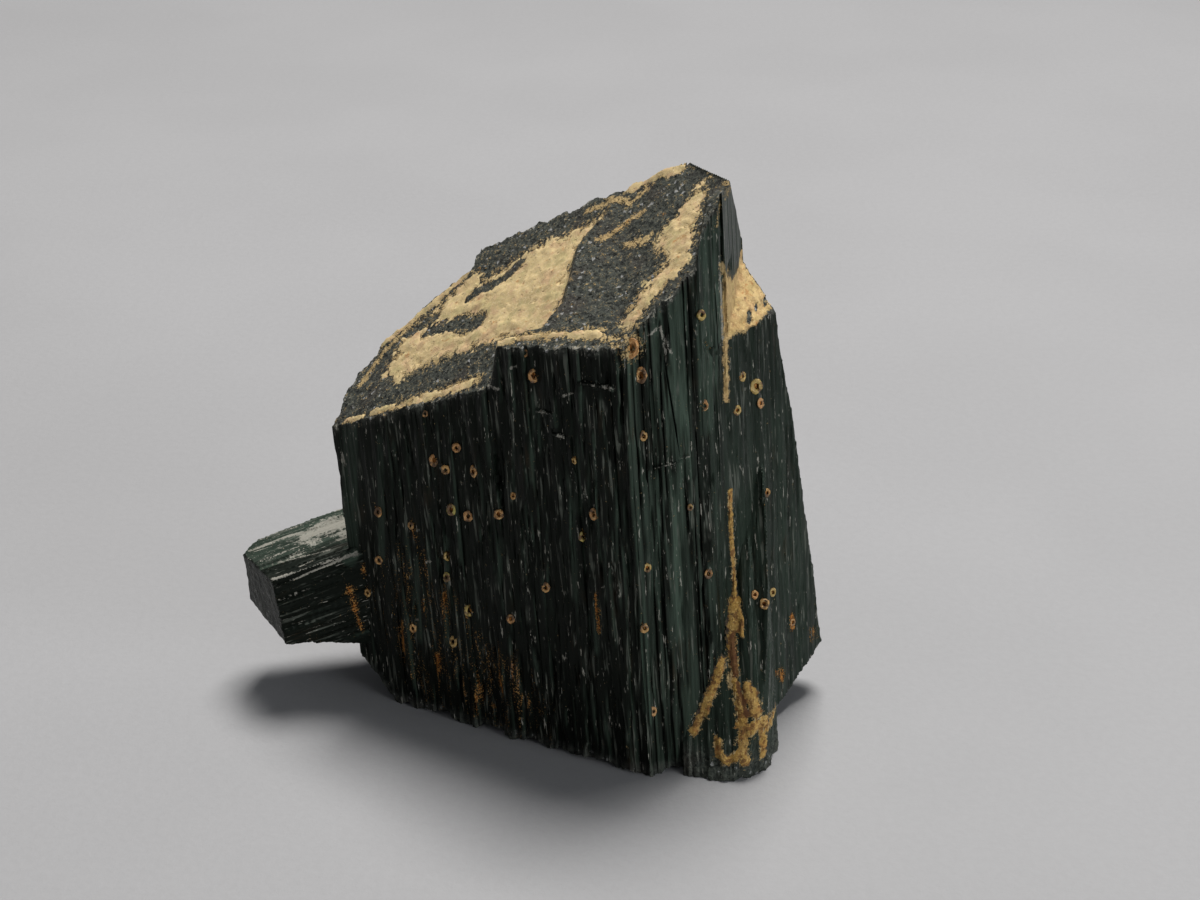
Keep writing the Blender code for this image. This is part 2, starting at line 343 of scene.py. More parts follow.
def growth_lines(corners, width, depth, rng, placed):
    """An outline whose sides step in and out by ledges, with a point for each line's width."""
    outline = []
    for number, (start, end) in enumerate(zip(corners, corners[1:] + corners[:1])):
        start, end = Vector(start), Vector(end)
        forward = (end - start).normalized()
        inward = Vector((-forward.y, forward.x))
        length = (end - start).length
        ledges = list(placed.get(number) or random_ledges(length, rng))
        travelled, level = 0.0, 0.0
        while travelled < length - width / 2:
            if ledges and travelled >= ledges[0][0]:
                level = ledges.pop(0)[1]
                travelled -= width * LEDGE_OVERLAP if travelled > width else 0.0
            inset = inward * (level * depth + rng.uniform(*LINE_DEPTHS) * depth)
            outline.append(start + forward * travelled + inset)
            travelled += width * rng.uniform(*LINE_WIDTHS)
    return outline


def flat_face(name, corners):
    """One face through its corners in space."""
    deselect()
    bpy.ops.mesh.primitive_circle_add(vertices=len(corners), radius=1.0, fill_type="NGON")
    face = bpy.context.object
    face.name = name
    set_points(face, corners)
    return face


def prism(name, outline, bottom, top, row_height):
    """A closed prism over an outline, pulled up row by row and leaning along the c axis."""
    piece = flat_face(name, [(x, y, bottom) for x, y in outline])
    edit_all(piece)
    rows = max(1, round((top - bottom) / row_height))
    step = (-LEAN * (top - bottom) / rows, 0.0, (top - bottom) / rows)
    for _ in range(rows):
        bpy.ops.mesh.extrude_region_move(TRANSFORM_OT_translate={"value": step})
    bpy.ops.mesh.select_all(action="SELECT")
    bpy.ops.mesh.normals_make_consistent(inside=False)
    bpy.ops.object.mode_set(mode="OBJECT")
    shifted = points_of(piece)
    shifted[:, 0] -= LEAN * bottom
    set_points(piece, shifted)
    return piece


def refine(piece, paths, reach, cuts):
    """Add rows of points on the front of a prism, near paths in front elevation."""
    points = points_of(piece)
    nearest = np.minimum.reduce([distance_to(points[:, 0], points[:, 2], path) for path in paths])
    near = (facing(piece, "front") > 0.5) & (nearest < reach)
    pick(piece)
    bpy.ops.object.mode_set(mode="EDIT")
    bpy.ops.mesh.select_mode(type="EDGE")
    bpy.ops.mesh.select_all(action="DESELECT")
    bpy.ops.object.mode_set(mode="OBJECT")
    for edge in piece.data.edges:
        start, end = edge.vertices
        upright = abs(points[start][2] - points[end][2]) > LEVEL_WITHIN
        edge.select = bool(near[start] and near[end]) and upright
    bpy.ops.object.mode_set(mode="EDIT")
    bpy.ops.mesh.subdivide(number_cuts=cuts)
    bpy.ops.object.mode_set(mode="OBJECT")


def cut(piece, point, normal):
    """Take away what lies on the side of a plane that its normal points to, and close the cut."""
    edit_all(piece)
    bpy.ops.mesh.bisect(plane_co=point, plane_no=normal, use_fill=True, clear_outer=True)
    bpy.ops.object.mode_set(mode="OBJECT")


def relief(piece, height, name, size, share=1.0, drawn=1.0, stops=(), kind="CLOUDS", depth=2, hard=False,
           middle=0.5, turn=UNTURNED, direction="NORMAL", group=""):
    """Raise and sink the surface by one layer of relief that is drawn out along the turned z axis."""
    texture = bpy.data.textures.new(name, kind)
    texture.noise_scale = size
    if kind == "CLOUDS":
        texture.noise_depth = depth
        texture.noise_type = "HARD_NOISE" if hard else "SOFT_NOISE"
    if stops:
        texture.use_color_ramp = True
        elements = texture.color_ramp.elements
        while len(elements) < len(stops):
            elements.new(0.5)
        for element, (position, value) in zip(elements, stops):
            element.position = position
            element.color = (value, value, value, 1.0)
    deselect()
    bpy.ops.object.empty_add(rotation=turn)
    guide = bpy.context.object
    guide.scale = (1.0, 1.0, drawn)
    bpy.context.view_layer.update()
    modify(piece, "DISPLACE", texture=texture, strength=height * share, mid_level=middle,
           direction=direction, texture_coords="OBJECT", texture_coords_object=guide, vertex_group=group)
    remove(guide)
    bpy.data.textures.remove(texture)


def relief_layers(piece, height, layers, **common):
    """Lay several layers of relief over each other."""
    for layer in layers:
        relief(piece, height, **{**common, **layer})


def sheet_over(name, span, spacing):
    """A flat grid over a rectangle: ((low, high), (low, high))."""
    deselect()
    (x_low, x_high), (y_low, y_high) = span
    columns = round((x_high - x_low) / spacing)
    rows = round((y_high - y_low) / spacing)
    bpy.ops.mesh.primitive_grid_add(x_subdivisions=columns, y_subdivisions=rows, size=1.0)
    sheet = bpy.context.object
    sheet.name = name
    flat = points_of(sheet)
    flat[:, 0] = x_low + (flat[:, 0] + 0.5) * (x_high - x_low)
    flat[:, 1] = y_low + (flat[:, 1] + 0.5) * (y_high - y_low)
    set_points(sheet, flat)
    return sheet


def thicken(sheet, offset):
    """Close a sheet into a block by pulling a copy of it away."""
    edit_all(sheet)
    bpy.ops.mesh.extrude_region_move(TRANSFORM_OT_translate={"value": offset})
    bpy.ops.mesh.select_all(action="SELECT")
    bpy.ops.mesh.normals_make_consistent(inside=False)
    bpy.ops.object.mode_set(mode="OBJECT")


def take_away(piece, sheet, offset):
    """Cut away the block that a sheet sweeps along an offset."""
    thicken(sheet, offset)
    modify(piece, "BOOLEAN", object=sheet, operation="DIFFERENCE", solver="MANIFOLD")
    remove(sheet)


def distance_to(across, along, path):
    """Distance of each point from an open path."""
    nearest = np.full(across.shape, np.inf)
    for (ax, ay), (bx, by) in zip(path, path[1:]):
        dx, dy = bx - ax, by - ay
        part = np.clip(((across - ax) * dx + (along - ay) * dy) / (dx * dx + dy * dy), 0.0, 1.0)
        nearest = np.minimum(nearest, np.hypot(across - ax - part * dx, along - ay - part * dy))
    return nearest


def depth_inside(across, along, outline):
    """How far inside a closed outline each point lies; negative outside it."""
    nearest = distance_to(across, along, outline + outline[:1])
    inside = np.zeros(across.shape, bool)
    for (ax, ay), (bx, by) in zip(outline, outline[1:] + outline[:1]):
        if ay == by:
            continue
        crossing = (ay > along) != (by > along)
        inside ^= crossing & (across < ax + (bx - ax) * (along - ay) / (by - ay))
    return np.where(inside, nearest, -nearest)


def smooth(low, high, value):
    """0 below low, 1 above high, and an even slope between."""
    part = np.clip((value - low) / (high - low), 0.0, 1.0)
    return part * part * (3.0 - 2.0 * part)


def noise_at(points, size, shift=0.0):
    """Smooth noise from -1 to 1 at each point, with bumps of this size."""
    scaled = np.asarray(points) / size + shift
    return np.array([noise.noise(Vector(place)) for place in scaled])


def plane_height(x, y, point, normal):
    """Height of a plane over each plan place."""
    return point[2] - ((x - point[0]) * normal[0] + (y - point[1]) * normal[1]) / normal[2]


def raised_to(higher, height, x, y, outline, riser):
    """A surface raised to a higher one inside an outline, with a riser of this width round it."""
    outer, inner = RISER_REACH
    inside = smooth(outer * riser, inner * riser, depth_inside(x, y, outline))
    return height + inside * np.maximum(higher - height, 0.0)


def top_height(x, y):
    """Height of the slanting top over each plan place, with its layer, ridge and cut corner."""
    top = TOP_HEIGHT + x * TOP_RISE[0] + y * TOP_RISE[1]
    layer = LAYER_HEIGHT + x * LAYER_RISE[0] + y * LAYER_RISE[1]
    height = raised_to(layer, top, x, y, LAYER_OUTLINE, LAYER_RISER)
    ridge = np.minimum(top + RIDGE_LIFT, plane_height(x, y, RIDGE_PEAK, RIDGE_BACK))
    height = raised_to(ridge, height, x + LEAN * top, y, RIDGE_OUTLINE, RIDGE_RISER)
    return np.minimum(height, plane_height(x, y, CORNER_POINT, CORNER_FACE))


def on_corner_face(x, y, z):
    """1 on the smooth steep face behind the ridge, 0 away from it."""
    return smooth(*CORNER_FACE_REACH, np.abs(z - plane_height(x, y, CORNER_POINT, CORNER_FACE)))


def base_height(x, y):
    """Height of the broken base over each plan place, with the chip at its left end."""
    return np.maximum(plane_height(x, y, CHIP_POINT, CHIP_FACE), 0.0)


def place(piece):
    """Set a piece modelled in millimetres over the front edge's foot into the frame."""
    piece.data.transform(Matrix.Translation(FOOT_PLACE) @ Matrix.Scale(MM, 4))
    piece.data.update()


def finish_piece(piece, material):
    """Place a piece, give it its material and let it ride on the crystal."""
    place(piece)
    pick(piece)
    bpy.ops.object.shade_smooth_by_angle(angle=SMOOTH_ANGLE)
    piece.vertex_groups.clear()
    piece.data.materials.clear()
    piece.data.materials.append(material)
    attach(piece, BODY)


# ---------------------------------------------------------------- marks on the surface

# Clay on the slanting top, in plan
CLAY_SHEET = (
    (-1.8, 8.1), (-3.0, 7.5), (-3.3, 6.3), (-3.8, 4.0), (-4.4, 3.4), (-5.3, 4.3), (-6.4, 5.3), (-8.0, 6.1),
    (-9.2, 6.5), (-10.4, 7.0), (-11.0, 7.9), (-10.3, 9.4), (-8.8, 9.8), (-7.4, 10.1), (-7.0, 9.3),
    (-6.0, 9.2), (-4.8, 9.1), (-3.5, 8.4),
)
CLAY_FAN = (
    (2.15, 6.0), (1.85, 5.0), (1.65, 4.0), (1.5, 3.0), (1.1, 2.3), (0.6, 1.95), (0.15, 1.5), (-0.4, 1.15),
    (-0.75, 0.7), (-1.25, 1.1), (-0.9, 1.75), (-0.45, 2.2), (0.1, 2.65), (0.6, 3.1), (0.3, 3.8), (0.1, 4.5),
    (0.5, 4.9), (1.05, 5.05), (1.4, 5.5), (1.8, 6.1),
)
CLAY_PLAN_PATHS = (
    (0.12, ((-12.7, 6.65), (-11.9, 6.2))), (0.13, ((-11.5, 6.0), (-10.6, 5.6))),
    (0.10, ((-10.2, 5.3), (-9.9, 5.2))), (0.20, ((-9.6, 4.95), (-8.9, 4.6))),
    (0.15, ((-8.6, 4.4), (-8.2, 4.25))), (0.22, ((-7.9, 4.1), (-7.3, 3.8))),
    (0.12, ((-6.1, 2.75), (-5.5, 2.65))), (0.09, ((-5.2, 2.5), (-4.5, 2.3))),
    (0.12, ((-4.0, 2.1), (-3.6, 1.9))),
    (0.18, ((-3.2, 1.6), (-2.6, 1.35), (-2.2, 1.15))),
    (0.28, ((-0.9, 8.75), (0.3, 8.2), (1.2, 7.75))),
    (0.16, ((-11.6, 9.7), (-9.0, 10.1), (-7.7, 10.5))),
    (0.32, ((1.75, 5.3), (1.2, 4.4), (0.8, 4.0))),
    (0.18, ((0.9, 2.7), (0.3, 2.2), (-0.5, 1.7), (-1.0, 1.2))),
)
BARE_PLAN_PATHS = (
    (0.45, ((-9.2, 8.6), (-8.2, 7.9), (-7.1, 7.0))),
    (0.30, ((-10.2, 9.3), (-9.0, 9.2))),
    (0.30, ((-7.4, 8.9), (-6.2, 8.6), (-5.4, 8.8))),
)
CLAY_ON_TOP = {"areas": (CLAY_SHEET, CLAY_FAN), "paths": CLAY_PLAN_PATHS, "bare": BARE_PLAN_PATHS}

# Clay on the side crystal's top and in the groove beside it, in front elevation (x, z)
CLAY_SIDE_TOP = (
    (2.84, 18.2), (3.0, 18.6), (3.3, 18.66), (3.7, 18.5), (4.0, 18.6), (4.4, 18.7), (4.8, 18.85),
    (5.2, 19.0), (6.3, 19.0), (5.6, 20.8), (3.9, 22.8), (3.7, 21.1), (3.55, 20.6), (3.35, 20.3),
    (3.1, 20.55), (2.86, 21.3), (2.72, 21.6), (2.68, 20.5), (2.74, 19.4),
)
CLAY_FRONT_PATHS = (
    (0.11, ((2.86, 18.6), (2.9, 17.5), (2.94, 16.0))),
    (0.09, ((3.19, 12.0), (3.27, 10.3), (3.39, 8.8), (3.49, 6.9))),
    (0.24, ((3.44, 7.0), (3.5, 6.5), (3.44, 6.1))),
    (0.09, ((3.66, 6.7), (3.76, 6.3), (3.78, 5.8))),
    (0.17, ((3.36, 5.7), (3.42, 5.0), (3.5, 4.3))),
    (0.19, ((2.95, 4.7), (2.81, 4.15), (2.57, 3.5), (2.2, 2.6), (1.83, 1.8))),
    (0.22, ((3.38, 4.1), (3.59, 3.6), (3.75, 3.1), (3.84, 2.5))),
    (0.25, ((4.03, 3.75), (4.24, 3.35), (4.4, 2.9))),
    (0.28, ((3.84, 2.3), (4.1, 2.2), (4.63, 2.4))),
    (0.18, ((4.63, 2.38), (5.15, 1.75))),
    (0.15, ((4.6, 2.1), (4.75, 1.3), (4.7, 0.8))),
    (0.22, ((3.82, 2.2), (3.83, 1.4), (3.95, 0.8))),
    (0.17, ((2.8, 1.6), (2.84, 1.1), (3.1, 0.85), (3.45, 1.0), (3.8, 1.4))),
)
BARE_FRONT_PATHS = (
    (0.22, ((3.2, 22.0), (3.22, 21.2), (3.28, 20.7))),
    (0.11, ((3.86, 18.8), (3.86, 18.97))),
    (0.07, ((4.17, 19.02), (4.17, 19.1))),
    (0.08, ((4.56, 19.0), (4.56, 19.14))),
)
CLAY_ON_SIDE = {
    "areas": (CLAY_SIDE_TOP,), "paths": CLAY_FRONT_PATHS, "bare": BARE_FRONT_PATHS, "edge": 0.15,
}
LOWEST_TOP = 10.0  # nothing below this height belongs to the slanting top
DAMP_BELOW = 12.5  # the clay in the groove is damper and darker below this height

# Clay too thin to stand up: a line down the groove, a halo round the largest ring, wisps on the top
DUST_FRONT = {"paths": (
    (0.10, ((2.49, 24.1), (2.41, 23.6))),
    (0.20, ((2.92, 24.4), (2.9, 24.1))),
    (0.13, ((2.62, 21.8), (2.75, 21.3))),
    (0.42, ((-0.95, 19.75), (-0.85, 19.3))),
    (0.16, ((-2.4, 19.6), (-1.3, 19.6))),
)}
DUST_ON_TOP = {"paths": (
    (0.20, ((-2.1, 6.5), (-1.5, 6.5), (-1.0, 6.7), (-0.4, 6.7))),
    (0.16, ((-2.6, 9.0), (-1.3, 8.4), (-0.87, 7.77), (-0.1, 7.9))),
    (0.25, ((-0.9, 5.4), (-0.2, 4.9))),
    (0.18, ((-12.2, 8.2), (-11.3, 9.2), (-9.5, 10.0))),
    (0.24, ((-6.1, 2.8), (-4.8, 2.45), (-3.4, 1.8), (-2.1, 1.15))),
    (0.28, ((-10.6, 5.5), (-9.2, 4.8), (-7.0, 3.7))),
)}

# Rust stains, in front elevation
RUST_FRONT = {"paths": (
    (0.24, ((-12.90, 5.6), (-12.72, 4.8))),
    (0.15, ((-12.72, 4.8), (-12.57, 4.0), (-12.43, 3.3))),
    (0.17, ((-12.22, 6.5), (-12.23, 6.0))),
    (0.22, ((-9.07, 3.1), (-8.97, 2.3))),
    (0.32, ((-7.3, 1.9), (-7.42, 0.6))),
    (0.16, ((-7.29, 2.6), (-7.26, 1.9))),
    (0.16, ((-6.87, 1.5), (-6.61, 1.35))),
    (0.11, ((-8.66, 6.4), (-8.57, 5.1))),
    (0.11, ((-10.58, 4.4), (-10.56, 2.8))),
    (0.15, ((-10.1, 4.25), (-10.11, 3.9))),
    (0.13, ((-6.31, 3.2), (-6.21, 2.05))),
    (0.13, ((-4.18, 2.5), (-4.06, 1.95))),
    (0.11, ((-9.61, 5.6), (-9.58, 5.1))),
    (0.13, ((-5.47, 2.06), (-5.21, 2.48), (-5.05, 1.87))),
    (0.14, ((-10.0, 9.5), (-9.9, 8.6))),
    (0.12, ((-2.3, 8.4), (-2.1, 6.6))),
    (0.26, ((3.36, 5.6), (3.42, 5.0), (3.5, 4.3))),
    (0.13, ((3.6, 3.9), (3.85, 3.3), (3.95, 2.8))),
    (0.18, ((6.15, 4.4), (6.25, 3.8))),
    (0.22, ((7.2, 3.2), (7.3, 2.6))),
    (0.20, ((5.6, 2.2), (5.8, 1.7))),
    (0.10, ((2.05, 19.1), (2.2, 18.6))),
)}
RUST_ON_TOP = {"paths": (
    (0.20, ((-7.3, 10.3), (-6.9, 10.1))),
    (0.16, ((-0.25, 1.2), (0.05, 1.25))),
    (0.14, ((-1.5, 6.55), (-0.9, 6.7))),
    (0.16, ((0.1, 5.93), (0.5, 5.7))),
    (0.12, ((1.74, 2.3), (1.93, 2.1))),
)}

# Where rust and pale grains are sprinkled over the lower left, in front elevation
SPRINKLED_FRONT = {"areas": (
    (
        (-11.9, 8.0), (-12.1, 2.8), (-10.9, 0.6), (-8.0, -0.5),
        (-3.9, -0.5), (-3.5, 3.5), (-6.6, 5.4), (-9.7, 9.0),
    ),
), "edge": 1.0}

# Broken ledges on the left front side, in front elevation
UPPER_LIP = ((-2.82, 17.72), (-2.2, 17.8), (-1.62, 17.72))
MIDDLE_LIP = ((-4.53, 15.95), (-4.25, 16.05), (-3.97, 16.08), (-3.94, 15.51))
LOWER_LIP = ((-3.9, 15.21), (-3.54, 15.14))

# Grains of worn, whitish mineral along ledges and nicks, and a painted highlight down the edge of the
# groove, in front elevation
WORN_AND_HIGHLIT_FRONT = {"paths": (
    (0.10, UPPER_LIP), (0.08, MIDDLE_LIP), (0.09, LOWER_LIP),
    (0.09, ((-6.33, 16.6), (-6.09, 16.6))),
    (0.08, ((-5.58, 17.66), (-5.42, 17.75))),
    (0.08, ((-3.53, 16.99), (-3.17, 17.17))),
    (0.05, ((0.08, 14.11), (0.45, 14.24), (0.85, 14.22))),
    (0.05, ((0.9, 14.3), (1.47, 14.46))),
    (0.05, ((0.25, 20.12), (0.34, 19.4), (0.40, 18.8))),
    # A painted highlight down the edge of the groove
    (0.07, ((2.48, 22.2), (2.59, 21.1), (2.69, 20.25), (2.75, 19.4), (2.76, 18.4))),
    (0.08, ((1.48, 22.9), (1.72, 23.3), (2.18, 23.1))),
    (0.09, ((1.46, 15.09), (1.62, 14.62))),
    (0.12, ((-1.24, 19.44), (-1.09, 19.17))),
    (0.08, ((-0.25, 19.82), (0.1, 20.0))),
    (0.07, ((-9.36, 7.59), (-9.18, 7.73))),
    (0.08, ((-9.96, 4.48), (-9.65, 4.56))),
    (0.07, ((-2.64, 12.83), (-2.56, 12.68))),
    (0.07, ((0.21, 19.96), (0.53, 19.27), (0.89, 18.58))),
)}

# Cream patch, pale streaks, painted highlights along the front top edge and a black band without painted
# sheen on the stub, in plan
CREAM_ON_STUB = {"areas": ((
    (-12.4, 9.0), (-13.5, 9.9), (-14.4, 9.75), (-15.3, 9.0), (-15.4, 7.9), (-14.6, 7.4), (-14.0, 7.8),
    (-12.6, 7.5),
),), "edge": 0.35}
STREAKS_AND_HIGHLIGHTS_ON_STUB = {"paths": (
    (0.16, ((-16.9, 8.5), (-15.9, 8.85), (-14.8, 9.0))),
    (0.14, ((-17.4, 8.3), (-16.5, 8.6))),
    # Painted highlights along the front top edge
    (0.10, ((-16.04, 5.5), (-14.87, 5.77), (-13.61, 6.19), (-12.48, 6.56))),
    (0.09, ((-15.2, 6.85), (-14.56, 6.94), (-13.78, 6.91))),
    (0.07, ((-14.91, 6.1), (-14.42, 6.38))),
)}
BLACK_ON_STUB = {"paths": ((0.75, ((-16.3, 5.9), (-14.95, 6.2), (-13.4, 6.7))),)}

# Streaks of stronger and weaker painted sheen along the faces, in front elevation
PALE_FRONT = {"paths": (
    (0.11, ((-4.76, 16.5), (-4.78, 14.7), (-4.85, 12.7))), (0.06, ((-4.52, 16.4), (-4.43, 14.3))),
    (0.07, ((-5.56, 14.2), (-5.56, 11.7))), (0.17, ((-2.91, 15.1), (-2.96, 11.8))),
    (0.07, ((-2.32, 15.7), (-2.2, 11.7), (-2.08, 9.9))), (0.14, ((-3.2, 12.2), (-3.13, 9.6), (-3.1, 7.8))),
    (0.07, ((-1.92, 10.9), (-1.84, 8.1))), (0.07, ((-1.46, 14.2), (-1.4, 10.2))),
    (0.12, ((-8.49, 9.0), (-8.6, 4.0))), (0.12, ((-9.84, 7.6), (-9.81, 3.6))),
    (0.15, ((-11.18, 13.0), (-11.37, 7.1))), (0.34, ((-12.5, 13.8), (-12.54, 12.5), (-12.78, 6.9))),
    (0.10, ((-9.27, 8.8), (-9.26, 6.8))), (0.12, ((-6.18, 9.7), (-6.22, 7.7))),
    (0.12, ((-2.25, 8.0), (-2.21, 5.6))), (0.10, ((-2.78, 17.3), (-2.83, 16.2))),
    (0.15, ((-0.94, 19.3), (-0.75, 13.9), (-0.49, 10.3), (-0.1, 2.5))),
    (0.06, ((-0.04, 17.6), (0.11, 15.0))), (0.36, ((0.82, 21.0), (1.07, 16.9), (1.32, 13.8))),
    (0.17, ((1.97, 20.4), (2.14, 17.4), (2.31, 15.2))), (0.20, ((2.38, 20.9), (2.5, 18.8))),
    (0.08, ((0.2, 13.6), (0.34, 7.4))), (0.24, ((0.92, 13.5), (1.18, 6.2))),
)}
DARK_FRONT = {"paths": (
    (0.18, ((1.41, 20.9), (1.63, 16.7), (1.76, 13.7))), (0.15, ((-0.44, 19.3), (-0.24, 14.2))),
    (0.11, ((0.36, 21.1), (0.54, 19.1))), (0.24, ((2.02, 15.0), (2.28, 9.6))),
)}

# Cracks, a notch and a pit, and the lips of broken ledges: (height, half width, path in front elevation)
CARVED = (
    (-0.14, 0.09, ((1.9, 19.1), (2.2, 18.6), (2.45, 18.3), (2.75, 18.3))),
    (-0.16, 0.12, ((2.25, 13.1), (2.33, 12.8))),
    (-0.14, 0.11, ((3.03, 21.32), (3.03, 21.2))),
    (0.06, 0.06, ((0.08, 14.11), (0.45, 14.24), (0.85, 14.22), (1.47, 14.46))),
    (0.09, 0.09, UPPER_LIP), (0.08, 0.08, MIDDLE_LIP), (0.08, 0.08, LOWER_LIP),
)
CARVED_DEPTH = 0.24
CARVED_EDGE = (1.4, 0.4)  # in half widths, from where a mark starts to where it is at its deepest
MARK_REACH = 0.45  # the sides have finer rows this near to a small mark
MARK_CUTS = 4

# Open cracks: (half width, depth, path in space)
CRACKS = (
    (0.035, 0.35, (
        (0.30, 0.77, 19.6), (0.47, 0.80, 18.25), (0.68, 0.88, 16.94), (0.89, 0.94, 15.62),
        (1.07, 0.98, 14.4),
    )),
    (0.03, 0.25, ((0.50, 0.90, 20.5), (0.56, 0.92, 19.9), (0.62, 0.92, 19.3))),
)

# Limonite rings, in front elevation: (x, z, size against an ordinary ring)
RINGS_LEFT_FACE = (
    (-5.0, 18.4, 0.7), (-4.7, 17.5, 1.1), (-7.9, 13.5, 0.9), (-8.9, 12.6, 1.0), (-8.4, 12.4, 0.9),
    (-7.2, 12.6, 1.0), (-8.2, 10.6, 1.0), (-7.5, 10.4, 0.95), (-6.2, 10.9, 1.0), (-5.6, 11.9, 0.6),
    (-2.3, 12.0, 1.05), (-2.8, 10.8, 0.8), (-11.4, 9.5, 0.9), (-10.0, 9.2, 0.8), (-8.5, 8.2, 0.9),
    (-8.5, 7.2, 0.85), (-11.5, 7.1, 0.8), (-12.1, 5.2, 0.8), (-4.3, 8.0, 0.9), (-7.6, 5.8, 1.1),
    (-5.8, 6.0, 0.8), (-8.3, 4.1, 0.9), (-10.1, 4.1, 0.8), (-9.2, 14.7, 0.6), (-3.1, 14.2, 0.6),
)
RINGS_RIGHT_FACE = (
    (-0.86, 19.44, 1.55), (-0.5, 18.2, 1.2), (-0.4, 15.6, 0.8), (-0.2, 9.9, 0.8), (-0.3, 7.2, 0.8),
    (0.1, 3.1, 0.8), (2.0, 16.4, 0.9), (1.8, 20.3, 0.9), (2.3, 9.0, 0.8), (1.5, 12.2, 0.6),
)
RINGS_SIDE_CRYSTAL = (
    (3.6, 16.7, 0.8), (4.2, 16.0, 1.3), (4.4, 15.2, 0.9), (3.4, 15.4, 0.9), (4.8, 11.0, 0.8),
    (4.3, 7.4, 0.7), (4.7, 7.1, 0.9), (5.2, 6.2, 0.8), (6.2, 4.1, 0.8),
)
RINGS = RINGS_LEFT_FACE + RINGS_RIGHT_FACE + RINGS_SIDE_CRYSTAL
RING_SEGMENTS = 18
RING_SIDES = 10
RING_MIDDLE = 0.34  # radius of a ring's middle line, as a share of its diameter
RING_HALF_WIDTH = 0.15  # half the thickness of its tube, and how far it stands off the rock, likewise
RING_LIFT = 0.08
RING_TURN = Vector((0.0, -1.2, 0.6))  # the larger a ring, the more it opens towards the front and up
RING_TILT = 0.2  # greatest chance tilt, against a direction of length 1
RING_OVALS = ((0.8, 1.0), (0.95, 1.25), (0.6, 1.0))  # least and greatest stretch along its axes
OLIVE_RARENESS = 4  # above 1, ochre rings are commoner than olive ones
RING_HOLE = 0.16  # radius of the rust spot in an ordinary ring's hole
RUST_LENGTH = 0.04  # such a spot is drawn as a path this short
RUST_IN_RINGS = {"paths": tuple(
    (RING_HOLE * size, ((x, z - RUST_LENGTH / 2), (x, z + RUST_LENGTH / 2))) for x, z, size in RINGS
)}

FAR_OUTSIDE = -3.0
BARE_SLOPE = 1.2  # how fast the clay gets thicker away from a bare path, in the path's half widths


def strength(across, along, areas=(), paths=(), bare=(), edge=0.7):
    """How deep in the marks each point lies: 1 in the middle, 0 on the edge, negative outside.

    The areas thin out over the edge's width. Paths are (half width, corners).
    """
    best = np.full(across.shape, FAR_OUTSIDE)
    for outline in areas:
        best = np.maximum(best, np.clip(depth_inside(across, along, outline) / edge, FAR_OUTSIDE, 1.0))
    for width, path in paths:
        best = np.maximum(best, 1.0 - distance_to(across, along, path) / width)
    for width, path in bare:
        best = np.minimum(best, distance_to(across, along, path) / width * BARE_SLOPE - 1.0)
    return best


# The two views that marks are drawn in: the axes across and up them, where they look, and how
# far a surface has to face them to be marked
VIEWS = {
    "plan": {"axes": (0, 1), "toward": Vector((0.0, 0.0, -1.0)), "facing": 0.3},
    "front": {"axes": (0, 2), "toward": Vector((0.0, 1.0, 0.0)), "facing": 0.1},
}
FACING_EDGE = 0.2  # past that limit, the marks come in over this much more
REACH = 60.0  # rays start this far away


def facing(piece, view):
    """1 on the sides of a piece that a view can see, 0 on the others."""
    limit = VIEWS[view]["facing"]
    return smooth(-limit, -limit - FACING_EDGE, normals_of(piece) @ np.array(VIEWS[view]["toward"]))


def marked(piece, view, marks):
    """How strongly marks cover each point: 1 in their middle, 0.5 on their edge, 0 far away."""
    points = points_of(piece)
    across, along = VIEWS[view]["axes"]
    value = strength(points[:, across], points[:, along], **marks) * 0.5 + 0.5
    return np.clip(value, 0.0, 1.0) * facing(piece, view)


def tone(piece, name, value):
    """Store one number for each point."""
    attribute = piece.data.attributes.get(name) or piece.data.attributes.new(name, "FLOAT", "POINT")
    attribute.data.foreach_set("value", np.asarray(value, float))


def strongest(*values):
    """The largest of several values at each point."""
    return np.maximum.reduce(np.broadcast_arrays(*values))


# How strongly the marks are stored on the crystals
STREAK_EDGE = (0.40, 0.65)
PALE_STREAK = 0.6
DARK_STREAK = 0.85
STRONGEST_SHEEN = 1.2
DUST_STRENGTH = 0.8
DUST_ALL_OVER = 0.22  # on whatever faces up on the top
DUSTY_SLOPE = (0.4, 0.7)
RUST_STRENGTH = 0.74
RUST_TOP_SHARE = 0.72
WORN_AND_HIGHLIGHT_STRENGTH = 0.8
SPRINKLED_RUST = 0.38
SPRINKLED_WORN = 0.26


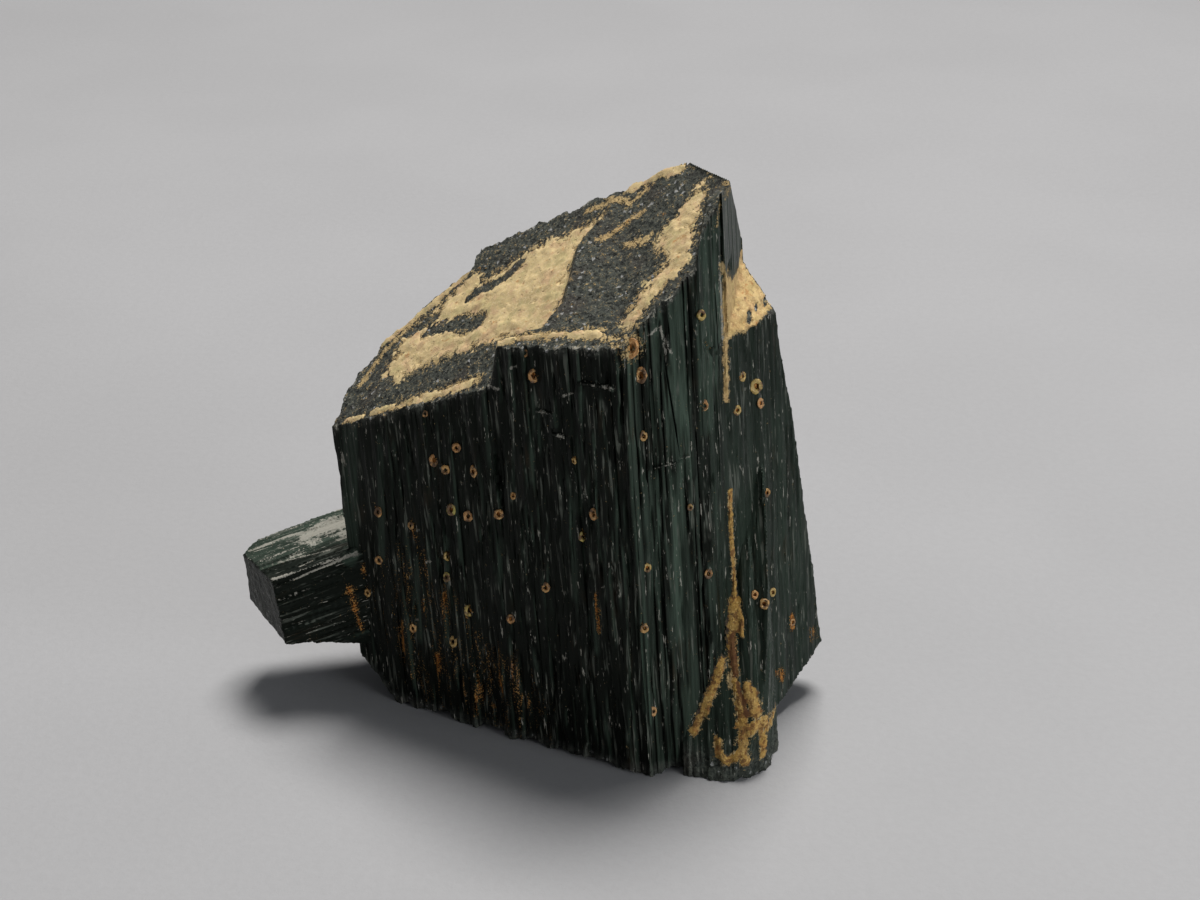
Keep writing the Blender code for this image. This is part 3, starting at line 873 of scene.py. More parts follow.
def stain_all(piece, painted_sheen, worn_and_highlit=0.0, has_top=False):
    """Store the painted sheen, the clay, the rust, and the worn places and painted highlights of a crystal.
    """
    top = float(has_top)

    def on_top(marks):
        return marked(piece, "plan", marks) * top

    def in_front(marks):
        return marked(piece, "front", marks)

    # Streaks of stronger and weaker painted sheen
    pale = smooth(*STREAK_EDGE, in_front(PALE_FRONT))
    dark = smooth(*STREAK_EDGE, in_front(DARK_FRONT))
    painted_sheen = (painted_sheen + PALE_STREAK * pale) * (1.0 - DARK_STREAK * dark)
    tone(piece, "painted_sheen", np.clip(painted_sheen, 0.0, STRONGEST_SHEEN))
    clay = strongest(on_top(CLAY_ON_TOP), in_front(CLAY_ON_SIDE))
    dust = strongest(on_top(DUST_ON_TOP), in_front(DUST_FRONT))
    thin_dust = DUST_ALL_OVER * top * smooth(*DUSTY_SLOPE, normals_of(piece)[:, 2])
    tone(piece, "clay", strongest(clay, dust * DUST_STRENGTH, thin_dust))
    rust = strongest(on_top(RUST_ON_TOP) * RUST_TOP_SHARE, in_front(RUST_FRONT))
    rings = in_front(RUST_IN_RINGS)
    lines = in_front(WORN_AND_HIGHLIT_FRONT)
    sprinkled = in_front(SPRINKLED_FRONT)
    tone(piece, "rust", strongest(rust * RUST_STRENGTH, rings, SPRINKLED_RUST * sprinkled))
    tone(piece, "worn_and_highlit", strongest(worn_and_highlit, WORN_AND_HIGHLIGHT_STRENGTH * lines, SPRINKLED_WORN * sprinkled))


# ---------------------------------------------------------------- materials

# Linear colours of what varies on the crystals
BROWN_FILM = (0.030, 0.020, 0.011)
GLINT_LINE_GREY = (0.115, 0.125, 0.105)
DARK_GRAINS = (0.016, 0.017, 0.018)
PINKISH_GRAINS = (0.058, 0.047, 0.042)
PORE_BLACK = (0.006, 0.006, 0.006)
GLINTS = (0.45, 0.45, 0.45)
WORN_AND_GLINT_WHITE = (0.36, 0.345, 0.30)
BROWN_DUST = (0.42, 0.27, 0.12)
DARK_RUST = (0.09, 0.028, 0.010)
OCHRE_RUST = (0.45, 0.30, 0.11)

# Linear colours of what varies in the clay
SHADED_CLAY = (0.50, 0.375, 0.185)
PALE_GRIT = (0.68, 0.56, 0.36)
PINKISH_CLAY = (0.56, 0.36, 0.21)
OLIVE_CLAY = (0.43, 0.37, 0.17)
DAMP_CLAY = (0.40, 0.225, 0.045)
DAMP_GRIT = (0.64, 0.43, 0.13)
DAMP_CRUMBS = (0.15, 0.062, 0.016)
CLAY_PORES = (0.13, 0.08, 0.04)
RUSTY_CLAY = (0.40, 0.16, 0.04)
STAINED_CLAY = (0.10, 0.036, 0.010)
BARE_ROCK = (0.035, 0.034, 0.030)

# Linear colours of what varies on the rings
OCHRE_RING = (0.44, 0.21, 0.065)
OLIVE_RING = (0.34, 0.31, 0.065)
PALE_RING = (0.66, 0.46, 0.20)
DARK_RING = (0.12, 0.06, 0.022)

FLOOR_SHADE = 0.93  # the floor's darkest clouds against its colour
FACE_GLOSS = {"Specular IOR Level": 0.11, "Specular Tint": (0.86, 1.0, 0.88, 1.0)}
RING_IOR = 1.6
COVERED_ROUGHNESS = 0.88
BUMP_DEPTH = 0.06 * MM
RING_BUMP_DEPTH = 0.03 * MM
FLOOR_BUMP_DEPTH = 0.05 * MM
CELLS = 8.0  # grains of the fracture in a millimetre
GRAIN_STRETCHES = (1.0, 7.0, 16.0, 45.0)
ROCK_ATTRIBUTES = ("rough", "painted_sheen", "clay", "rust", "worn_and_highlit")
CLAY_ATTRIBUTES = ("damp", "thin", "rust")


class Wire:
    """One socket of a material's nodes. Arithmetic on wires adds the Math nodes for it."""

    def __init__(self, tree, socket=None):
        self.tree = tree
        self.socket = socket

    def node(self, kind, settings=None, inputs=None, output=0):
        """Add a node, its settings first, then its sockets' values or links, and give back an output."""
        made = self.tree.nodes.new(kind)
        for name, value in (settings or {}).items():
            setattr(made, name, value)
        for name, value in (inputs or {}).items():
            if isinstance(value, Wire):
                self.tree.links.new(value.socket, made.inputs[name])
            else:
                made.inputs[name].default_value = value
        return Wire(self.tree, made.outputs[output] if made.outputs else None)

    def math(self, operation, *values):
        return self.node("ShaderNodeMath", {"operation": operation}, dict(enumerate(values)))

    def __add__(self, other):
        return self.math("ADD", self, other)

    __radd__ = __add__

    def __sub__(self, other):
        return self.math("SUBTRACT", self, other)

    def __rsub__(self, other):
        return self.math("SUBTRACT", other, self)

    def __mul__(self, other):
        return self.math("MULTIPLY", self, other)

    __rmul__ = __mul__

    def larger(self, other):
        return self.math("MAXIMUM", self, other)

    def ease(self, low, high):
        """0 below low, 1 above high, and a soft slope between."""
        settings = {"interpolation_type": "SMOOTHSTEP"}
        return self.node("ShaderNodeMapRange", settings, {"Value": self, "From Min": low, "From Max": high})

    def mix(self, low, high):
        """Mix two numbers by this value."""
        return self.node("ShaderNodeMix", {"data_type": "FLOAT"}, {0: self, 2: low, 3: high})

    def blend(self, low, high):
        """Mix two colours by this value."""
        low, high = (side if isinstance(side, Wire) else (*side, 1.0) for side in (low, high))
        return self.node("ShaderNodeMix", {"data_type": "RGBA"}, {0: self, 6: low, 7: high}, output=2)

    def bump(self, distance, strength):
        """Relief with this value as its height."""
        inputs = {"Height": self, "Distance": distance, "Strength": strength}
        return self.node("ShaderNodeBump", None, inputs)

    def attribute(self, name):
        """The numbers stored at the points under a name."""
        return self.node("ShaderNodeAttribute", {"attribute_name": name}, output=2)

    def noise(self, place, scale, detail, roughness):
        """Noise with about this many grains in a millimetre."""
        inputs = {"Vector": place, "Scale": scale, "Detail": detail, "Roughness": roughness}
        return self.node("ShaderNodeTexNoise", None, inputs)

    def cells(self, place, output):
        """Sharp-edged grains: their distances are output 0, their random colours output 1."""
        settings = {"feature": "F1", "distance": "MANHATTAN"}
        return self.node("ShaderNodeTexVoronoi", settings, {"Vector": place, "Scale": CELLS}, output)


def new_material(name):
    """An empty material and a wire to build it from."""
    material = bpy.data.materials.new(name)
    material.use_nodes = True
    material.node_tree.nodes.clear()
    return material, Wire(material.node_tree)


def close_material(wire, sockets):
    """Add the shader and the output."""
    shader = wire.node("ShaderNodeBsdfPrincipled", None, sockets)
    wire.node("ShaderNodeOutputMaterial", None, {"Surface": shader})


def grain_place(wire, turn=UNTURNED, stretch=1.0):
    """Places in millimetres along the crystal's own axes, squeezed along its length by the stretch."""
    inputs = {
        "Vector": wire.node("ShaderNodeTexCoord", output=3),
        "Rotation": turn,
        "Scale": (MM, MM, MM * stretch),
    }
    return wire.node("ShaderNodeMapping", {"vector_type": "TEXTURE"}, inputs)


def ilvaite_material(name, colours, turn=AXIS_TURN):
    """Black, faintly green mineral: striated shiny faces, a rough fracture, thin clay and rust."""
    material, wire = new_material(name)
    even, short, drawn, long_drawn = (grain_place(wire, turn, stretch) for stretch in GRAIN_STRETCHES)
    rough, painted_sheen, clay, rust, worn_and_highlit = (wire.attribute(mark) for mark in ROCK_ATTRIBUTES)
    dashes = wire.noise(short, 3.0, 4.0, 0.65)
    streaks = wire.noise(drawn, 2.6, 3.0, 0.6)
    lines = wire.noise(long_drawn, 9.0, 2.0, 0.6)
    patches = wire.noise(even, 0.5, 3.0, 0.55)
    specks = wire.noise(even, 5.0, 4.0, 0.65)
    grit = wire.noise(even, 14.0, 3.0, 0.6)

    # The faces: near black, with a paler greenish painted sheen in streaks, brown patches and painted
    # glints in thin pale lines
    sheen_streaks = (streaks.ease(0.36, 0.64) * 0.4 + lines.ease(0.35, 0.68) * 0.3 + 0.3) * painted_sheen
    faces = sheen_streaks.blend(colours.ilvaite, colours.painted_sheen)
    brown = patches.ease(0.50, 0.72) * dashes.ease(0.5, 0.66) * 0.55
    faces = brown.blend(faces, BROWN_FILM)
    glint_lines = wire.noise(drawn, 6.0, 2.0, 0.6).ease(0.57, 0.65) * patches.ease(0.40, 0.6) * 0.75
    faces = glint_lines.blend(faces, GLINT_LINE_GREY)

    # The fracture: dark grey grains, a few of them painted as bright glints, with a pinkish tinge in places
    lightness = wire.node("ShaderNodeSeparateColor", None, {"Color": wire.cells(even, 1)})
    grey = (specks.ease(0.34, 0.62) * 0.75 + lightness * 0.25).blend(DARK_GRAINS, colours.fracture)
    grey = (patches.ease(0.5, 0.7) * 0.5).blend(grey, PINKISH_GRAINS)
    pores = wire.noise(even, 6.5, 2.0, 0.5).ease(0.60, 0.68) * 0.85
    grey = pores.blend(grey, PORE_BLACK)
    grains = (lightness.ease(0.978, 0.988) * 0.6).blend(grey, GLINTS)
    body = rough.blend(faces, grains)

    # Worn whitish grains along the edges, with painted highlights along some of them, and painted glints as
    # stray pale specks
    worn_and_highlit_marks = (worn_and_highlit + (specks - 0.5) + (dashes - 0.5) * 1.7 + (grit - 0.5) * 0.9).ease(0.56, 0.78)
    glint_specks = wire.noise(short, 8.5, 3.0, 0.7).ease(0.64, 0.69) * 0.85
    body = (worn_and_highlit_marks * 0.8).larger(glint_specks).blend(body, WORN_AND_GLINT_WHITE)

    # Thin clay in ragged specks round the crusts
    dust = (clay + (specks - 0.5) * 1.9 + (grit - 0.5) * 1.3).ease(0.38, 0.70)
    body = (dust * 0.85).blend(body, patches.blend(colours.clay, BROWN_DUST))

    # Rust, in specks and short dashes
    stained = (rust + (dashes - 0.5) * 1.3 + (grit - 0.5) * 1.5).ease(0.55, 0.72)
    rust_colour = specks.ease(0.35, 0.65).blend(DARK_RUST, colours.rust)
    rust_colour = (grit.ease(0.50, 0.62) * 0.65).blend(rust_colour, OCHRE_RUST)
    body = (stained * 0.9).blend(body, rust_colour)

    covered = dust.larger(stained)
    face_roughness = 0.22 + streaks * 0.18 + lines * 0.16
    fracture_roughness = 0.66 - lightness.ease(0.85, 0.97) * 0.4
    roughness = covered.mix(rough.mix(face_roughness, fracture_roughness), COVERED_ROUGHNESS)

    # Relief too fine to model: lines and dashes along the faces, grains on the fracture
    pyramids = wire.cells(even, 0)
    face_relief = lines * 0.5 + streaks * 0.8 + dashes * 0.45 + grit * 0.06
    fracture_relief = specks * 1.1 + pyramids * 0.3 + grit * 0.4 - pores * 0.5
    height = rough.mix(face_relief, fracture_relief) + covered * (grit * 0.5 + 0.3)
    normal = height.bump(BUMP_DEPTH, 0.9)
    close_material(wire, {"Base Color": body, "Roughness": roughness, "Normal": normal, **FACE_GLOSS})
    return material


def clay_material(colours):
    """Dry yellow-tan clay: matte, blotchy and gritty, golden where it is damp."""
    material, wire = new_material("dry_clay")
    even = grain_place(wire)
    damp, thin, rust = (wire.attribute(mark) for mark in CLAY_ATTRIBUTES)
    blotches = wire.noise(even, 0.9, 4.0, 0.6)
    grit = wire.noise(even, 14.0, 4.0, 0.7)
    pores = wire.noise(even, 6.0, 3.0, 0.6).ease(0.60, 0.72)
    crumbs = wire.noise(even, 4.0, 4.0, 0.7)
    tinge = wire.noise(even, 1.5, 3.0, 0.6)

    body = blotches.ease(0.35, 0.65).blend(colours.clay, SHADED_CLAY)
    body = grit.ease(0.50, 0.72).blend(body, PALE_GRIT)
    body = (tinge.ease(0.52, 0.64) * 0.55).blend(body, PINKISH_CLAY)
    body = ((1.0 - tinge).ease(0.53, 0.64) * 0.5).blend(body, OLIVE_CLAY)
    golden = grit.ease(0.50, 0.66).blend(DAMP_CLAY, DAMP_GRIT)
    body = (damp * (0.6 + blotches * 0.6)).blend(body, golden)
    body = (damp * crumbs.ease(0.47, 0.59) * 0.85).blend(body, DAMP_CRUMBS)
    body = (pores * (0.35 + damp * 0.45)).blend(body, CLAY_PORES)
    rusty = (wire.noise(even, 2.2, 3.0, 0.7) + damp * 0.04).ease(0.60, 0.74)
    body = (rusty * 0.7).blend(body, RUSTY_CLAY)
    stained = (rust + (crumbs - 0.5) * 1.4).ease(0.45, 0.75)
    body = (stained * 0.9).blend(body, STAINED_CLAY)
    bare = (thin + (crumbs - 0.5) * 1.5 + (grit - 0.5)).ease(0.56, 0.84)
    body = (bare * 0.85).blend(body, BARE_ROCK)
    normal = (blotches * 0.5 + grit * 0.45 - pores * 0.6).bump(BUMP_DEPTH, 0.8)
    close_material(wire, {"Base Color": body, "Roughness": 0.82 + grit * 0.15, "Normal": normal})
    return material


def limonite_material():
    """Waxy brown-yellow limonite, from ochre to olive from one ring to the next."""
    material, wire = new_material("limonite")
    even = grain_place(wire)
    grit = wire.noise(even, 12.0, 3.0, 0.6)
    body = wire.attribute("olive").blend(OCHRE_RING, OLIVE_RING)
    body = grit.ease(0.5, 0.7).blend(body, PALE_RING)
    body = wire.noise(even, 3.5, 2.0, 0.6).ease(0.48, 0.62).blend(body, DARK_RING)
    normal = grit.bump(RING_BUMP_DEPTH, 0.8)
    roughness = 0.5 + grit * 0.2
    close_material(wire, {"Base Color": body, "Roughness": roughness, "Normal": normal, "IOR": RING_IOR})
    return material


def floor_material(colours):
    """Plain pale matte floor, like heavy paper."""
    material, wire = new_material("pale_floor")
    even = grain_place(wire)
    fibres = wire.noise(even, 2.5, 5.0, 0.65)
    clouds = wire.noise(even, 0.05, 3.0, 0.5)
    darker = [part * FLOOR_SHADE for part in colours.floor]
    body = (fibres.ease(0.3, 0.7) * 0.5 + clouds.ease(0.35, 0.65) * 0.5).blend(darker, colours.floor)
    normal = fibres.bump(FLOOR_BUMP_DEPTH, 0.5)
    close_material(wire, {"Base Color": body, "Roughness": 0.8 + fibres * 0.1, "Normal": normal})
    return material


# ---------------------------------------------------------------- the pieces

ABOVE_TOP = 18.0  # height of the block that is taken away over the top
BELOW_BASE = 6.0  # depth of the one under the base
BASE_COARSENESS = 1.3  # grid of the base against that of the top

# Where one kind of surface fades into another: first where there is none of it, then where it is full.
# These measure the outward direction along x (left, right, the stub's end), y (front) or z (up)
FACES_FRONT = (0.0, -0.3)
FACES_LEFT = (0.05, -0.25)
FACES_RIGHT = (0.0, 0.35)
FACES_FAR_RIGHT = (0.6, 0.85)
FACES_NARROW_RIGHT = (0.86, 0.95)
FACES_UP = (0.35, 0.6)
FACES_STUB_END = (-0.5, -0.8)
FACES_STUB_TOP = (0.3, 0.7)
FACES_END = (0.35, 0.7)  # along the axis of a small crystal
# These are in millimetres
LEFT_FACET = (-10.2, -10.5)  # x on the ground, at the left end of the left front side
NEAR_TOP = (-0.30, -0.12)  # height over the top
NEAR_RIM = (-0.45, -0.05)
NEAR_SIDES = (0.45, 0.1)  # distance from the sides, in plan
NEAR_BASE = (0.45, 0.25)  # height over the base

# Roughness from 0 on the faces to 1 on the fracture
STEEP_ROUGHNESS = 0.6
BASE_ROUGHNESS = 0.8
FOOT_ROUGHNESS = 0.7
STUB_END_ROUGHNESS = 0.25

# Shares by which smoother places lose relief or painted sheen
NARROW_RIGHT_LOSS = 0.85
LEFT_FACET_LINES_LOSS = 0.5
LEFT_FACET_BARK_LOSS = 0.7
CORNER_FACE_LOSS = 0.85
FAR_RIGHT_SHEEN_LOSS = 0.5

# Strength of the greenish painted sheen, and of the worn whitish grains and painted highlights
MAIN_SHEEN = 0.02
RIGHT_SHEEN = 0.61  # more of it on the right front side
UPPER_SHEEN = 0.32  # and still more high up on it
UPPER_SHEEN_FADE = (13.5, 18.0)
SIDE_SHEEN = 0.45
SIDE_SHEEN_LOSS = 0.17  # less of it high up
SIDE_SHEEN_FADE = (13.0, 16.5)
FOOT_SHEEN = 0.5
STUB_SHEEN = 0.04
STUB_TOP_SHEEN = 0.75
STUB_TOP_WORN = 0.47
BLACK_BAND = 0.95
BLACK_BAND_EDGE = (0.45, 0.6)
CREAM_AND_HIGHLIGHT = 0.9
RIM_WORN = 0.5


def weigh(piece, name, weights):
    """A vertex group with one weight for each point."""
    group = piece.vertex_groups.new(name=name)
    for number, weight in enumerate(weights):
        group.add([number], float(weight), "REPLACE")


def carve(piece, marks):
    """Sink cracks and raise lips along paths on the front of a piece."""
    points = points_of(piece)
    seen = facing(piece, "front")
    outer, inner = CARVED_EDGE
    total = np.zeros(len(points))
    for height, width, path in marks:
        near = smooth(width * outer, width * inner, distance_to(points[:, 0], points[:, 2], path))
        total += near * seen * height / CARVED_DEPTH
    for group, side in (("raised", 1), ("sunk", -1)):
        weigh(piece, group, np.clip(side * total, 0.0, 1.0))
    for group, side in (("raised", 1), ("sunk", -1)):
        modify(piece, "DISPLACE", strength=side * CARVED_DEPTH, mid_level=0.0, vertex_group=group)


def crack(piece, half_width, depth, path):
    """Cut an open crack, pointed at both ends, into the front of a piece."""
    last = len(path) - 1
    widths = [half_width * min(1.0, number, last - number) for number in range(len(path))]
    right = [(x + width, y - depth, z) for (x, y, z), width in zip(path, widths)]
    left = [(x - width, y - depth, z) for (x, y, z), width in zip(path, widths)][1:-1]
    take_away(piece, flat_face("crack", right + left[::-1]), (0.0, depth * 2.0, 0.0))


def stand(piece):
    """Level what the relief has pushed below the ground."""
    set_points(piece, np.maximum(points_of(piece), (-np.inf, -np.inf, 0.0)))


def carved(name, corners, cuts, skin):
    """A small crystal: a prism over its outline, cut by its faces and closed into an even skin."""
    piece = prism(name, corners, MAIN_BOTTOM, MAIN_TOP, MAIN_TOP - MAIN_BOTTOM)
    for point, normal in cuts:
        cut(piece, point, normal)
    modify(piece, "REMESH", mode="VOXEL", voxel_size=skin)
    return piece


def sides_and_ends(piece, axis):
    """Weigh the points into the sides that run along an axis and the ends across it."""
    ends = smooth(*FACES_END, np.abs(normals_of(piece) @ np.array(axis)))
    weigh(piece, "sides", 1.0 - ends)
    weigh(piece, "ends", ends)
    return ends


def height_sheet(name, spacing, height_at):
    """A grid over the main crystal that follows a height, and its points."""
    sheet = sheet_over(name, TOP_SPAN, spacing)
    points = points_of(sheet)
    points[:, 2] = height_at(points[:, 0], points[:, 1])
    set_points(sheet, points)
    return sheet, points


def weigh_main_sides(main):
    """Weigh where the main crystal is striated, and where it is like bark, on the left front side."""
    nx, ny, _ = normals_of(main).T
    x, _, z = points_of(main).T
    front = smooth(*FACES_FRONT, ny)
    left_facet = front * smooth(*LEFT_FACET, x + LEAN * z)
    narrow_right = smooth(*FACES_NARROW_RIGHT, nx)
    lined = (1.0 - NARROW_RIGHT_LOSS * narrow_right) * (1.0 - LEFT_FACET_LINES_LOSS * left_facet)
    weigh(main, "striated", lined)
    weigh(main, "left_front", smooth(*FACES_LEFT, nx) * front * (1.0 - LEFT_FACET_BARK_LOSS * left_facet))


def stain_main(main):
    """Store how rough each place of the main crystal is, and its painted sheen, dirt and worn places."""
    nx, _, nz = normals_of(main).T
    x, y, z = points_of(main).T
    over_top = z - top_height(x, y)
    on_top = smooth(*NEAR_TOP, over_top) * np.maximum(smooth(*FACES_UP, nz), STEEP_ROUGHNESS)
    under = smooth(*NEAR_BASE, z - base_height(x, y))
    broken = on_top * (1.0 - on_corner_face(x, y, z))
    tone(main, "rough", np.clip(np.maximum(broken, BASE_ROUGHNESS * under), 0.0, 1.0))
    # Painted sheen: strongest on the right front side and high up on it, weaker on faces turned far to the
    # right
    right = smooth(*FACES_RIGHT, nx) * (1.0 - FAR_RIGHT_SHEEN_LOSS * smooth(*FACES_FAR_RIGHT, nx))
    painted_sheen = MAIN_SHEEN + (RIGHT_SHEEN + UPPER_SHEEN * smooth(*UPPER_SHEEN_FADE, z)) * right
    from_sides = np.abs(depth_inside(x + LEAN * z, y, MAIN_CORNERS))
    rim = smooth(*NEAR_RIM, over_top) * smooth(*NEAR_SIDES, from_sides)
    stain_all(main, painted_sheen, RIM_WORN * rim, has_top=True)


class ILVAITE_OT_main_crystal(bpy.types.Operator):
    """Model the main crystal: striated sides, slanting rough top and broken base"""

    bl_idname = "ilvaite.main_crystal"
    bl_label = "Main crystal"

    def execute(self, context):
        shape = context.scene.ilvaite_shape
        laths = shape.lath_relief / MM
        spacing = shape.top_grid / MM
        rng = random.Random(SEED)
        line_sizes = shape.line_width / MM, shape.ledge_depth / MM
        outline = growth_lines(MAIN_CORNERS, *line_sizes, rng, PLACED_LEDGES)
        main = prism("crystal_main", outline, MAIN_BOTTOM, MAIN_TOP, shape.row_height / MM)
        refine(main, [path for _, path in WORN_AND_HIGHLIT_FRONT["paths"]], MARK_REACH, MARK_CUTS)
        weigh_main_sides(main)
        relief_layers(main, laths, STRIATION, turn=AXIS_TURN, group="striated")
        relief_layers(main, laths, BARK, turn=AXIS_TURN, group="left_front")
        carve(main, CARVED)
        for half_width, depth, path in CRACKS:
            crack(main, half_width, depth, path)

        above, points = height_sheet("above", spacing, top_height)
        weigh(above, "broken", 1.0 - CORNER_FACE_LOSS * on_corner_face(*points.T))
        relief_layers(above, shape.top_relief / MM, FRACTURE, direction="Z", group="broken")
        take_away(main, above, (0.0, 0.0, ABOVE_TOP))
        below, _ = height_sheet("below", spacing * BASE_COARSENESS, base_height)
        relief(below, TORN_HEIGHT, direction="Z", **TORN)
        take_away(main, below, (0.0, 0.0, -BELOW_BASE))

        stain_main(main)
        finish_piece(main, ilvaite_material(FACES_MATERIAL, context.scene.ilvaite_colours))
        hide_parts(CAD_NODE)
        return {"FINISHED"}


class ILVAITE_OT_side_crystal(bpy.types.Operator):
    """Model the smaller crystal grown on the right"""

    bl_idname = "ilvaite.side_crystal"
    bl_label = "Side crystal"

    def execute(self, context):
        shape = context.scene.ilvaite_shape
        side = carved("crystal_side", SIDE_CORNERS, SIDE_CUTS, SIDE_SKIN)
        ends = sides_and_ends(side, (0.0, 0.0, 1.0))
        relief_layers(side, shape.lath_relief / MM * SIDE_RELIEF, STRIATION, turn=AXIS_TURN, group="sides")
        relief_layers(side, shape.top_relief / MM, FRACTURE, group="ends")
        stand(side)
        tone(side, "rough", ends)
        # Painted sheen, weaker high up
        stain_all(side, SIDE_SHEEN - SIDE_SHEEN_LOSS * smooth(*SIDE_SHEEN_FADE, points_of(side)[:, 2]))
        finish_piece(side, bpy.data.materials[FACES_MATERIAL])
        return {"FINISHED"}


class ILVAITE_OT_foot(bpy.types.Operator):
    """Model the short wedge of crystal at the bottom right"""

    bl_idname = "ilvaite.foot"
    bl_label = "Foot"

    def execute(self, context):
        shape = context.scene.ilvaite_shape
        foot = carved("crystal_foot", FOOT_CORNERS, FOOT_CUTS, FOOT_SKIN)
        relief_layers(foot, shape.lath_relief / MM * FOOT_RELIEF, STRIATION, turn=FOOT_TURN)
        low = smooth(*FOOT_ROUGH_BELOW, points_of(foot)[:, 2])
        weigh(foot, "low", low)
        relief_layers(foot, shape.top_relief / MM, FRACTURE, group="low")
        stand(foot)
        tone(foot, "rough", low * FOOT_ROUGHNESS)
        # Painted sheen all over the foot
        stain_all(foot, FOOT_SHEEN)
        material = ilvaite_material("ilvaite_foot", context.scene.ilvaite_colours, FOOT_TURN)
        finish_piece(foot, material)
        return {"FINISHED"}


class ILVAITE_OT_stub(bpy.types.Operator):
    """Model the short crystal sticking out of the left end"""

    bl_idname = "ilvaite.stub"
    bl_label = "Stub"

    def execute(self, context):
        shape = context.scene.ilvaite_shape
        stub = flat_face("crystal_stub", [(-STUB_LENGTH, -back, up) for back, up in STUB_SECTION])
        thicken(stub, (STUB_LENGTH + STUB_OVERLENGTH, 0.0, 0.0))
        turn = Euler((0.0, STUB_DIP, STUB_AZIMUTH)).to_matrix()
        stub.data.transform(Matrix.Translation(STUB_CORNER) @ turn.to_4x4())
        for point, normal in STUB_CUTS:
            cut(stub, point, normal)
        modify(stub, "REMESH", mode="VOXEL", voxel_size=STUB_SKIN)
        along = (turn @ Matrix.Rotation(math.radians(90.0), 3, "Y")).to_euler()
        sides_and_ends(stub, turn @ Vector((1.0, 0.0, 0.0)))
        relief_layers(stub, shape.lath_relief / MM * STUB_RELIEF, STRIATION, turn=along, group="sides")
        relief_layers(stub, shape.top_relief / MM * STUB_END_RELIEF, FRACTURE, group="ends")
        stand(stub)
        nx, _, nz = normals_of(stub).T
        tone(stub, "rough", STUB_END_ROUGHNESS * smooth(*FACES_STUB_END, nx))
        # Cream patch and pale streaks, with painted highlights along the front top edge
        cream_and_highlights = strongest(*(CREAM_AND_HIGHLIGHT * marked(stub, "plan", marks) for marks in (CREAM_ON_STUB, STREAKS_AND_HIGHLIGHTS_ON_STUB)))
        black = smooth(*BLACK_BAND_EDGE, marked(stub, "plan", BLACK_ON_STUB))
        # Painted sheen on the up-facing top, held back in the black band
        bare = smooth(*FACES_STUB_TOP, nz) * (1.0 - BLACK_BAND * black)
        stain_all(stub, STUB_SHEEN + STUB_TOP_SHEEN * bare, strongest(STUB_TOP_WORN * bare, cream_and_highlights))
        material = ilvaite_material("ilvaite_stub", context.scene.ilvaite_colours, tuple(along))
        finish_piece(stub, material)
        return {"FINISHED"}


CRYSTALS = ("crystal_main", "crystal_side", "crystal_foot", "crystal_stub")


def rock_surface():
    """All crystals as one surface to lay things on, in millimetres from the front edge's foot."""
    points, faces = [], []
    for name in CRYSTALS:
        piece = bpy.data.objects[name]
        first = len(points)
        points += [(vertex.co - FOOT_PLACE) / MM for vertex in piece.data.vertices]
        faces += [[first + corner for corner in face.vertices] for face in piece.data.polygons]
    return BVHTree.FromPolygons(points, faces)


# The clay, as it is seen in plan on the top and in front elevation on the side
CRUST_SPAN = {"plan": ((-13.6, 2.6), (0.2, 11.4)), "front": ((1.4, 6.5), (0.2, 22.8))}
CRUST_DRAWN = {"plan": (1.8, 1.0, 1.0), "front": (1.0, 1.0, 2.0)}  # its lumps are longer along x or z
CRUST_UNEVEN = {"plan": 0.8, "front": 0.6}
CRUST_THICKNESS = {"plan": 0.85, "front": 0.7}
CRUST_STEEPEST = {"plan": 1.2, "front": 1.7}  # on a slope the lift grows up to this many times
CRUST_DROP = {"plan": 0.6, "front": 1.3}  # the clay bridges no step deeper than this
CRUST_RISE = 1.2
CRUST_SINK = 0.1
CRUST_LOWEST = -0.75  # its edges run out under the crystals' surface, down to this share of its thickness
CRUST_BACK = 0.3  # it is closed inside the crystals this far behind its front
CLIFF = 7.0  # a steeper slope is a gap between two crystals
GROOVE_REACH = 3  # grid points: the clay fills grooves up to twice as wide as this
DAMP_FRONT = (0.45, 0.55)  # how damp the clay in front is, and how much damper it gets low down
THIN_EDGE = (0.8, -0.6)  # rise at which the rock starts to show through, and at which it shows most

# Lumps of the clay: (height, size, shift of their noise)
LUMPS_COARSE = (0.8, 0.9, 0.0)
LUMPS_MIDDLE = (0.9, 0.33, 7.3)
LUMPS_FINE = (0.9, 0.15, 3.1)
SWELLS_BROAD = (0.5, 1.3, 5.5)
SWELLS_SMALL = (0.3, 0.25, 1.7)
SWELLS_EDGE = (0.3, 1.0)  # rise at which the swells start, and at which they are full


def filled(depths, columns):
    """Depths on a grid along a view, with narrow grooves along it filled as clay fills them."""
    rows = depths.reshape(-1, columns)
    shifts = range(-GROOVE_REACH, GROOVE_REACH + 1)
    nearest = np.minimum.reduce([np.roll(rows, shift, axis=1) for shift in shifts])
    closed = np.maximum.reduce([np.roll(nearest, shift, axis=1) for shift in shifts])
    return closed.ravel()


def lumps_at(points, height, size, shift):
    """Lumps of this height and size."""
    return height * noise_at(points, size, shift)


def clay_rise(depth, landed, view):
    """How high the clay rises over the rock, from 1 where it lies deepest to negative outside its edge."""
    drawn = landed / CRUST_DRAWN[view]
    lumps = lumps_at(drawn, *LUMPS_COARSE) + lumps_at(drawn, *LUMPS_MIDDLE) + lumps_at(landed, *LUMPS_FINE)
    rise = np.clip(depth * CRUST_RISE + lumps * CRUST_UNEVEN[view] - CRUST_SINK, -1.0, 1.0)
    swells = lumps_at(landed, *SWELLS_BROAD) + lumps_at(landed, *SWELLS_SMALL)
    return rise + smooth(*SWELLS_EDGE, rise) * swells


